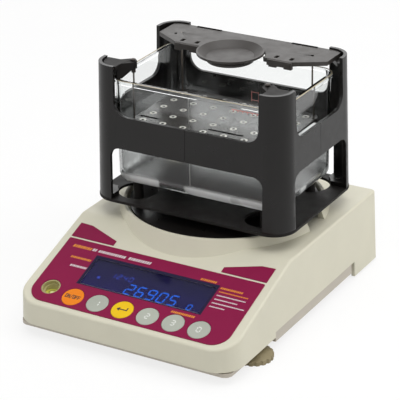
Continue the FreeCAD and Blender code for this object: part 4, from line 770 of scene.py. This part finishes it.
def make_key_marks():
    for name in ("key_power", "key_mode", "key_enter", "key_a", "key_b", "key_zero"):
        low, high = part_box(name)
        x = (low.x + high.x) / 2
        if name == "key_power":
            shapes, look = lettering("ON/OFF", x, KEY_ALONG), "dark_ink"
        elif name == "key_enter":
            shapes, look = arrow(x, KEY_ALONG), "dark_ink"
        else:
            shapes = figure(KEY_FIGURES[name], x - KEY_FIGURE_LEFT, KEY_ALONG - KEY_FIGURE_BELOW,
                            *KEY_FIGURE_SIZE, lean=0)
            look = "pale_ink"
        printed(f"{name}_mark", shapes, look, body=f"{name}_body", out=KEY_OUT)


# ---------------------------------------------------------------- tank

# the CAD tank's lip stands this far out of its walls, and its corners have this radius
TANK_LIP = 0.8 * MM
TANK_CORNER = 12.8 * MM
CORNER_STEPS = 10
# a pale film on the rim, painted as the light line along its top edge: its width and thickness
RIM_WIDE = 1.0 * MM
RIM_FILM = 0.12 * MM
MARK_FILM = 0.04 * MM
MARK_THICK = 0.5 * MM
# the red line on the front wall, with a row of short ticks under it
LINE_FROM = 31 * MM
LINE_TO = 51 * MM
LINE_UP = 148.2 * MM
TICKS = 6
TICK_FROM = 32 * MM
TICK_PITCH = 3.6 * MM
TICK_WIDE = 0.4 * MM
TICK_TALL = 1.2 * MM
# the red frame on the rear wall
LADDER_SIDES = (-1.6 * MM, 4.0 * MM)
LADDER_LOW = 113.5 * MM
LADDER_HIGH = 126 * MM
LADDER_RUNGS = (115 * MM, 119 * MM, 125 * MM)
# the upright mould line in the front wall
SEAM_FROM = -2.4 * MM
SEAM_TO = -2.1 * MM
SEAM_OVER_FOOT = 10 * MM
SEAM_UNDER_RIM = 2.7 * MM


def rounded(half_x, half_y, radius):
    """A rounded rectangle about the stage's middle, as (x, y) points."""
    points = []
    for quarter, (sx, sy) in enumerate(((1, 1), (-1, 1), (-1, -1), (1, -1))):
        for step in range(CORNER_STEPS + 1):
            angle = math.radians(90 * (quarter + step / CORNER_STEPS))
            points.append((sx * (half_x - radius) + radius * math.cos(angle),
                           STAGE_Y + sy * (half_y - radius) + radius * math.sin(angle)))
    return points


def make_tank_details():
    low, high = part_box("tank")
    half_x, half_y = high.x, (high.y - low.y) / 2
    front, rear = low.y + TANK_LIP, high.y - TANK_LIP

    # painted highlight: a pale film on the tank's rim
    def rim_glint(bm):
        outer = rounded(half_x, half_y, TANK_CORNER)
        inner = rounded(half_x - RIM_WIDE, half_y - RIM_WIDE, TANK_CORNER - RIM_WIDE)
        ring(bm, outer, inner, high.z, high.z + RIM_FILM, upright)
    piece("tank_rim_highlight", rim_glint, "rim_glint", "tank_body")

    def marks(bm):
        block(bm, (LINE_FROM, front - MARK_FILM, LINE_UP), (LINE_TO, front, LINE_UP + MARK_THICK))
        for step in range(TICKS):
            x = TICK_FROM + step * TICK_PITCH
            block(bm, (x, front - MARK_FILM, LINE_UP - TICK_TALL), (x + TICK_WIDE, front, LINE_UP))
        for x in LADDER_SIDES:
            block(bm, (x, rear, LADDER_LOW), (x + MARK_THICK, rear + MARK_FILM, LADDER_HIGH))
        left, right = LADDER_SIDES
        for z in LADDER_RUNGS:
            block(bm, (left, rear, z), (right + MARK_THICK, rear + MARK_FILM, z + MARK_THICK))
    piece("tank_level_marks", marks, "red_ink", "tank_body")

    def seam(bm):
        block(bm, (SEAM_FROM, front - MARK_FILM, low.z + SEAM_OVER_FOOT),
              (SEAM_TO, front, high.z - SEAM_UNDER_RIM))
    piece("tank_mould_line", seam, "mould_line", "tank_body")


# ---------------------------------------------------------------- tray and hanger

# the CAD tray's holes: columns and rows each side of the middle, and the border beyond the last of them
HOLE_COLUMNS = 3
HOLE_ROWS = 2
HOLE_BORDER_X = 8 * MM
HOLE_BORDER_Y = 8.5 * MM
HOLE_SIDES = 28
# pale rings painted round the tray's holes as glints of light: their outer and inner radius and thickness
GLINT_OUTER = 2.5 * MM
GLINT_INNER = 1.1 * MM
GLINT_FILM = 0.1 * MM
# dark strips painted as the shade in the tray's two grooves: their spans across, distance in from its front,
# width and thickness
GROOVES = ((-54 * MM, -38 * MM), (1 * MM, 28 * MM))
GROOVE_IN = 13.2 * MM
GROOVE_WIDE = 2 * MM
GROOVE_FILM = 0.06 * MM

# the two low lips at the top plate's rear edge, black all over as painted shade on their shaded front faces
LIP_FROM = 28 * MM
LIP_TO = 48 * MM
LIP_FRONT = 2.0 * MM
LIP_REAR = 0.4 * MM
LIP_TALL = 0.35 * MM
LIP_ROUND = 0.1 * MM
# the top plate's pin holes, shown as low dark domes painted as the shade in them, and the knobs over the
# front rods, turned from (radius, height) points
PIN_SPOTS = ((-54.4 * MM, 62.9 * MM), (52.1 * MM, 66.5 * MM))
PIN_PROFILE = ((1.0 * MM, 0), (1.0 * MM, 0.15 * MM), (0.7 * MM, 0.3 * MM))
KNOB_PROFILE = ((0.9 * MM, 0), (1.8 * MM, 0.35 * MM), (2.0 * MM, 0.75 * MM), (1.6 * MM, 1.15 * MM),
                (0.7 * MM, 1.35 * MM))
SMALL_SIDES = 24
# the rods' axes stand this far inside the box round them and their sleeves
ROD_IN = 1.5 * MM


def make_tray_details():
    low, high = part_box("tray")
    pitch_x = (high.x - HOLE_BORDER_X) / HOLE_COLUMNS
    pitch_y = ((high.y - low.y) / 2 - HOLE_BORDER_Y) / HOLE_ROWS

    # painted highlight: a pale ring round each of the tray's holes
    def edges(bm):
        for column in range(-HOLE_COLUMNS, HOLE_COLUMNS + 1):
            for row in range(-HOLE_ROWS, HOLE_ROWS + 1):
                x, y = column * pitch_x, STAGE_Y + row * pitch_y
                ring(bm, disc(x, y, GLINT_OUTER, HOLE_SIDES), disc(x, y, GLINT_INNER, HOLE_SIDES),
                     high.z, high.z + GLINT_FILM, upright)
    piece("tray_hole_glints", edges, "hole_glint", "hanger")

    # painted shade: a dark strip in each of the tray's grooves
    def grooves(bm):
        y = low.y + GROOVE_IN
        for start, end in GROOVES:
            block(bm, (start, y, high.z), (end, y + GROOVE_WIDE, high.z + GROOVE_FILM))
    piece("tray_groove_shade", grooves, "painted_shade_black", "hanger")


def make_hanger_details():
    plate_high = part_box("top_plate")[1]
    rods_low, rods_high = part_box("hanger_rods")
    rod_x = rods_high.x - ROD_IN
    front_y = rods_low.y + ROD_IN

    # painted shade: the lips are black all over
    def lips(bm):
        for start, end in ((-LIP_TO, -LIP_FROM), (LIP_FROM, LIP_TO)):
            block(bm, (start, plate_high.y - LIP_FRONT, plate_high.z),
                  (end, plate_high.y - LIP_REAR, plate_high.z + LIP_TALL))
        bmesh.ops.bevel(bm, geom=bm.edges[:], offset=LIP_ROUND, segments=EDGE_SEGMENTS, affect="EDGES")
    piece("plate_lips_shaded", lips, "painted_shade_black", "hanger")

    # painted shade: a low dark dome in each pin hole
    def pins(bm):
        for x, y in PIN_SPOTS:
            turned(bm, PIN_PROFILE, (x, y, plate_high.z), SMALL_SIDES)
    piece("plate_pin_hole_shade", pins, "painted_shade_black", "hanger")

    def knobs(bm):
        for x in (-rod_x, rod_x):
            turned(bm, KNOB_PROFILE, (x, front_y, plate_high.z), SMALL_SIDES)
    piece("rod_knobs", knobs, "knob", "hanger")


# ---------------------------------------------------------------- level and inlets

LEVEL_OUTER = 2.5 * MM
LEVEL_INNER = 2.1 * MM
LEVEL_FILM = 0.05 * MM
BUBBLE_PROFILE = ((1.5 * MM, 0), (1.4 * MM, 0.1 * MM), (0.9 * MM, 0.25 * MM), (0.3 * MM, 0.32 * MM))
BUBBLE_SIDES = 32

# the port's insert and pins, each from one depth to another behind the port's rear face
INSERT_HALF_X = 7.2 * MM
INSERT_HALF_Z = 3.2 * MM
INSERT_DEEP = (4.6 * MM, 3.2 * MM)
PORT_PIN_ROWS = ((5, 1.4 * MM), (4, -1.4 * MM))
PORT_PIN_PITCH = 2.7 * MM
PORT_PIN_HALF = 0.35 * MM
PORT_PIN_DEEP = (3.4 * MM, 0.8 * MM)


def make_level_details():
    low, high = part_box("level_vial")
    x, y = (low.x + high.x) / 2, (low.y + high.y) / 2

    def mark(bm):
        ring(bm, disc(x, y, LEVEL_OUTER), disc(x, y, LEVEL_INNER), high.z, high.z + LEVEL_FILM, upright)
    piece("level_mark", mark, "line", "base")

    def bubble(bm):
        turned(bm, BUBBLE_PROFILE, (x, y, high.z), BUBBLE_SIDES)
    piece("level_bubble", bubble, "bubble", "base")


def make_inlet_details():
    low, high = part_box("serial_port")
    x, z = (low.x + high.x) / 2, (low.z + high.z) / 2

    def inward(bm, across, up, half_x, half_z, depths):
        deep, shallow = depths
        block(bm, (across - half_x, high.y - deep, up - half_z),
              (across + half_x, high.y - shallow, up + half_z))

    def insert(bm):
        inward(bm, x, z, INSERT_HALF_X, INSERT_HALF_Z, INSERT_DEEP)
    piece("port_insert", insert, "chip", "base")

    def pins(bm):
        for count, up in PORT_PIN_ROWS:
            for place in range(count):
                across = x + (place - (count - 1) / 2) * PORT_PIN_PITCH
                inward(bm, across, z + up, PORT_PIN_HALF, PORT_PIN_HALF, PORT_PIN_DEEP)
    piece("port_pins", pins, "steel", "base")


# ---------------------------------------------------------------- light and floor

WHITE = (1, 1, 1, 1)
FLOOR_HALF = 6.0
FLOOR_DROP = 0.05 * MM
PAPER_PATCH = 40 * MM
PAPER_COLOURS = ((0.78, 0.78, 0.775, 1), (0.8, 0.8, 0.795, 1))
PAPER_ROUGH = 0.9
PAPER_SPECULAR = 0.1
# how bright the paper shows by itself, and how much of what is seen that makes up
FLOOR_SEEN = 1.09
FLOOR_SHARE = 0.72
WORLD_SEEN = 1.0
WORLD_LIT = 0.4
# name, place, width and height in metres, and power in watts
LAMPS = (("top_box", (0.3, 0.0, 1.5), (1.8, 1.6), 15),
         ("right_box", (1.3, 0.5, 0.7), (0.9, 1.2), 4.5),
         ("rear_box", (-1.0, 1.7, 0.9), (1.4, 0.8), 4.5),
         ("front_box", (-0.9, -1.3, 0.9), (1.0, 0.8), 2.8))
LAMP_AIM = Vector((0, 0, 0.07))


def make_floor():
    """White paper that takes the shadows but shows almost white."""
    def sheet(bm):
        bmesh.ops.create_grid(bm, x_segments=1, y_segments=1, size=FLOOR_HALF)
    mesh = mesh_of("floor", sheet)
    floor = bpy.data.objects.new("floor", mesh)
    floor.location = (0, 0, -FLOOR_DROP)
    bpy.context.scene.collection.objects.link(floor)
    look = Look("floor_paper")
    look.give("Base Color", look.mix(look.spread(look.noise(PAPER_PATCH, detail=2), 0, 1), *PAPER_COLOURS))
    look.give("Roughness", PAPER_ROUGH)
    look.give("Specular IOR Level", PAPER_SPECULAR)
    glow = look.add("ShaderNodeEmission")
    glow.inputs["Color"].default_value = WHITE
    glow.inputs["Strength"].default_value = FLOOR_SEEN
    share = look.combine("MULTIPLY", look.seen(), FLOOR_SHARE)
    both = look.blend(share, look.shader.outputs["BSDF"], glow.outputs["Emission"])
    look.fill(look.output.inputs["Surface"], both)
    mesh.materials.append(look.material)


def make_world():
    """A white surround that shows white but lights the scene less."""
    world = bpy.data.worlds.new("studio")
    world.use_nodes = True
    tree = Tree(world.node_tree)
    shaders = []
    for strength in (WORLD_LIT, WORLD_SEEN):
        item = tree.add("ShaderNodeBackground")
        item.inputs["Color"].default_value = WHITE
        item.inputs["Strength"].default_value = strength
        shaders.append(item.outputs["Background"])
    output = tree.add("ShaderNodeOutputWorld")
    tree.fill(output.inputs["Surface"], tree.blend(tree.seen(), *shaders))
    bpy.context.scene.world = world


def make_lamp(name, place, size, power):
    data = bpy.data.lights.new(name, "AREA")
    data.shape = "RECTANGLE"
    data.size, data.size_y = size
    data.energy = power
    item = bpy.data.objects.new(name, data)
    way = LAMP_AIM - Vector(place)
    item.matrix_world = Matrix.Translation(place) @ way.to_track_quat("-Z", "Y").to_matrix().to_4x4()
    bpy.context.scene.collection.objects.link(item)


make_camera()
make_world()
make_floor()
for lamp in LAMPS:
    make_lamp(*lamp)

dress_nodes()
soften_nodes()
make_display()
make_panel_print()
make_key_marks()
make_tank_details()
make_tray_details()
make_hanger_details()
make_level_details()
make_inlet_details()

bpy.context.scene.view_settings.view_transform = "Standard"
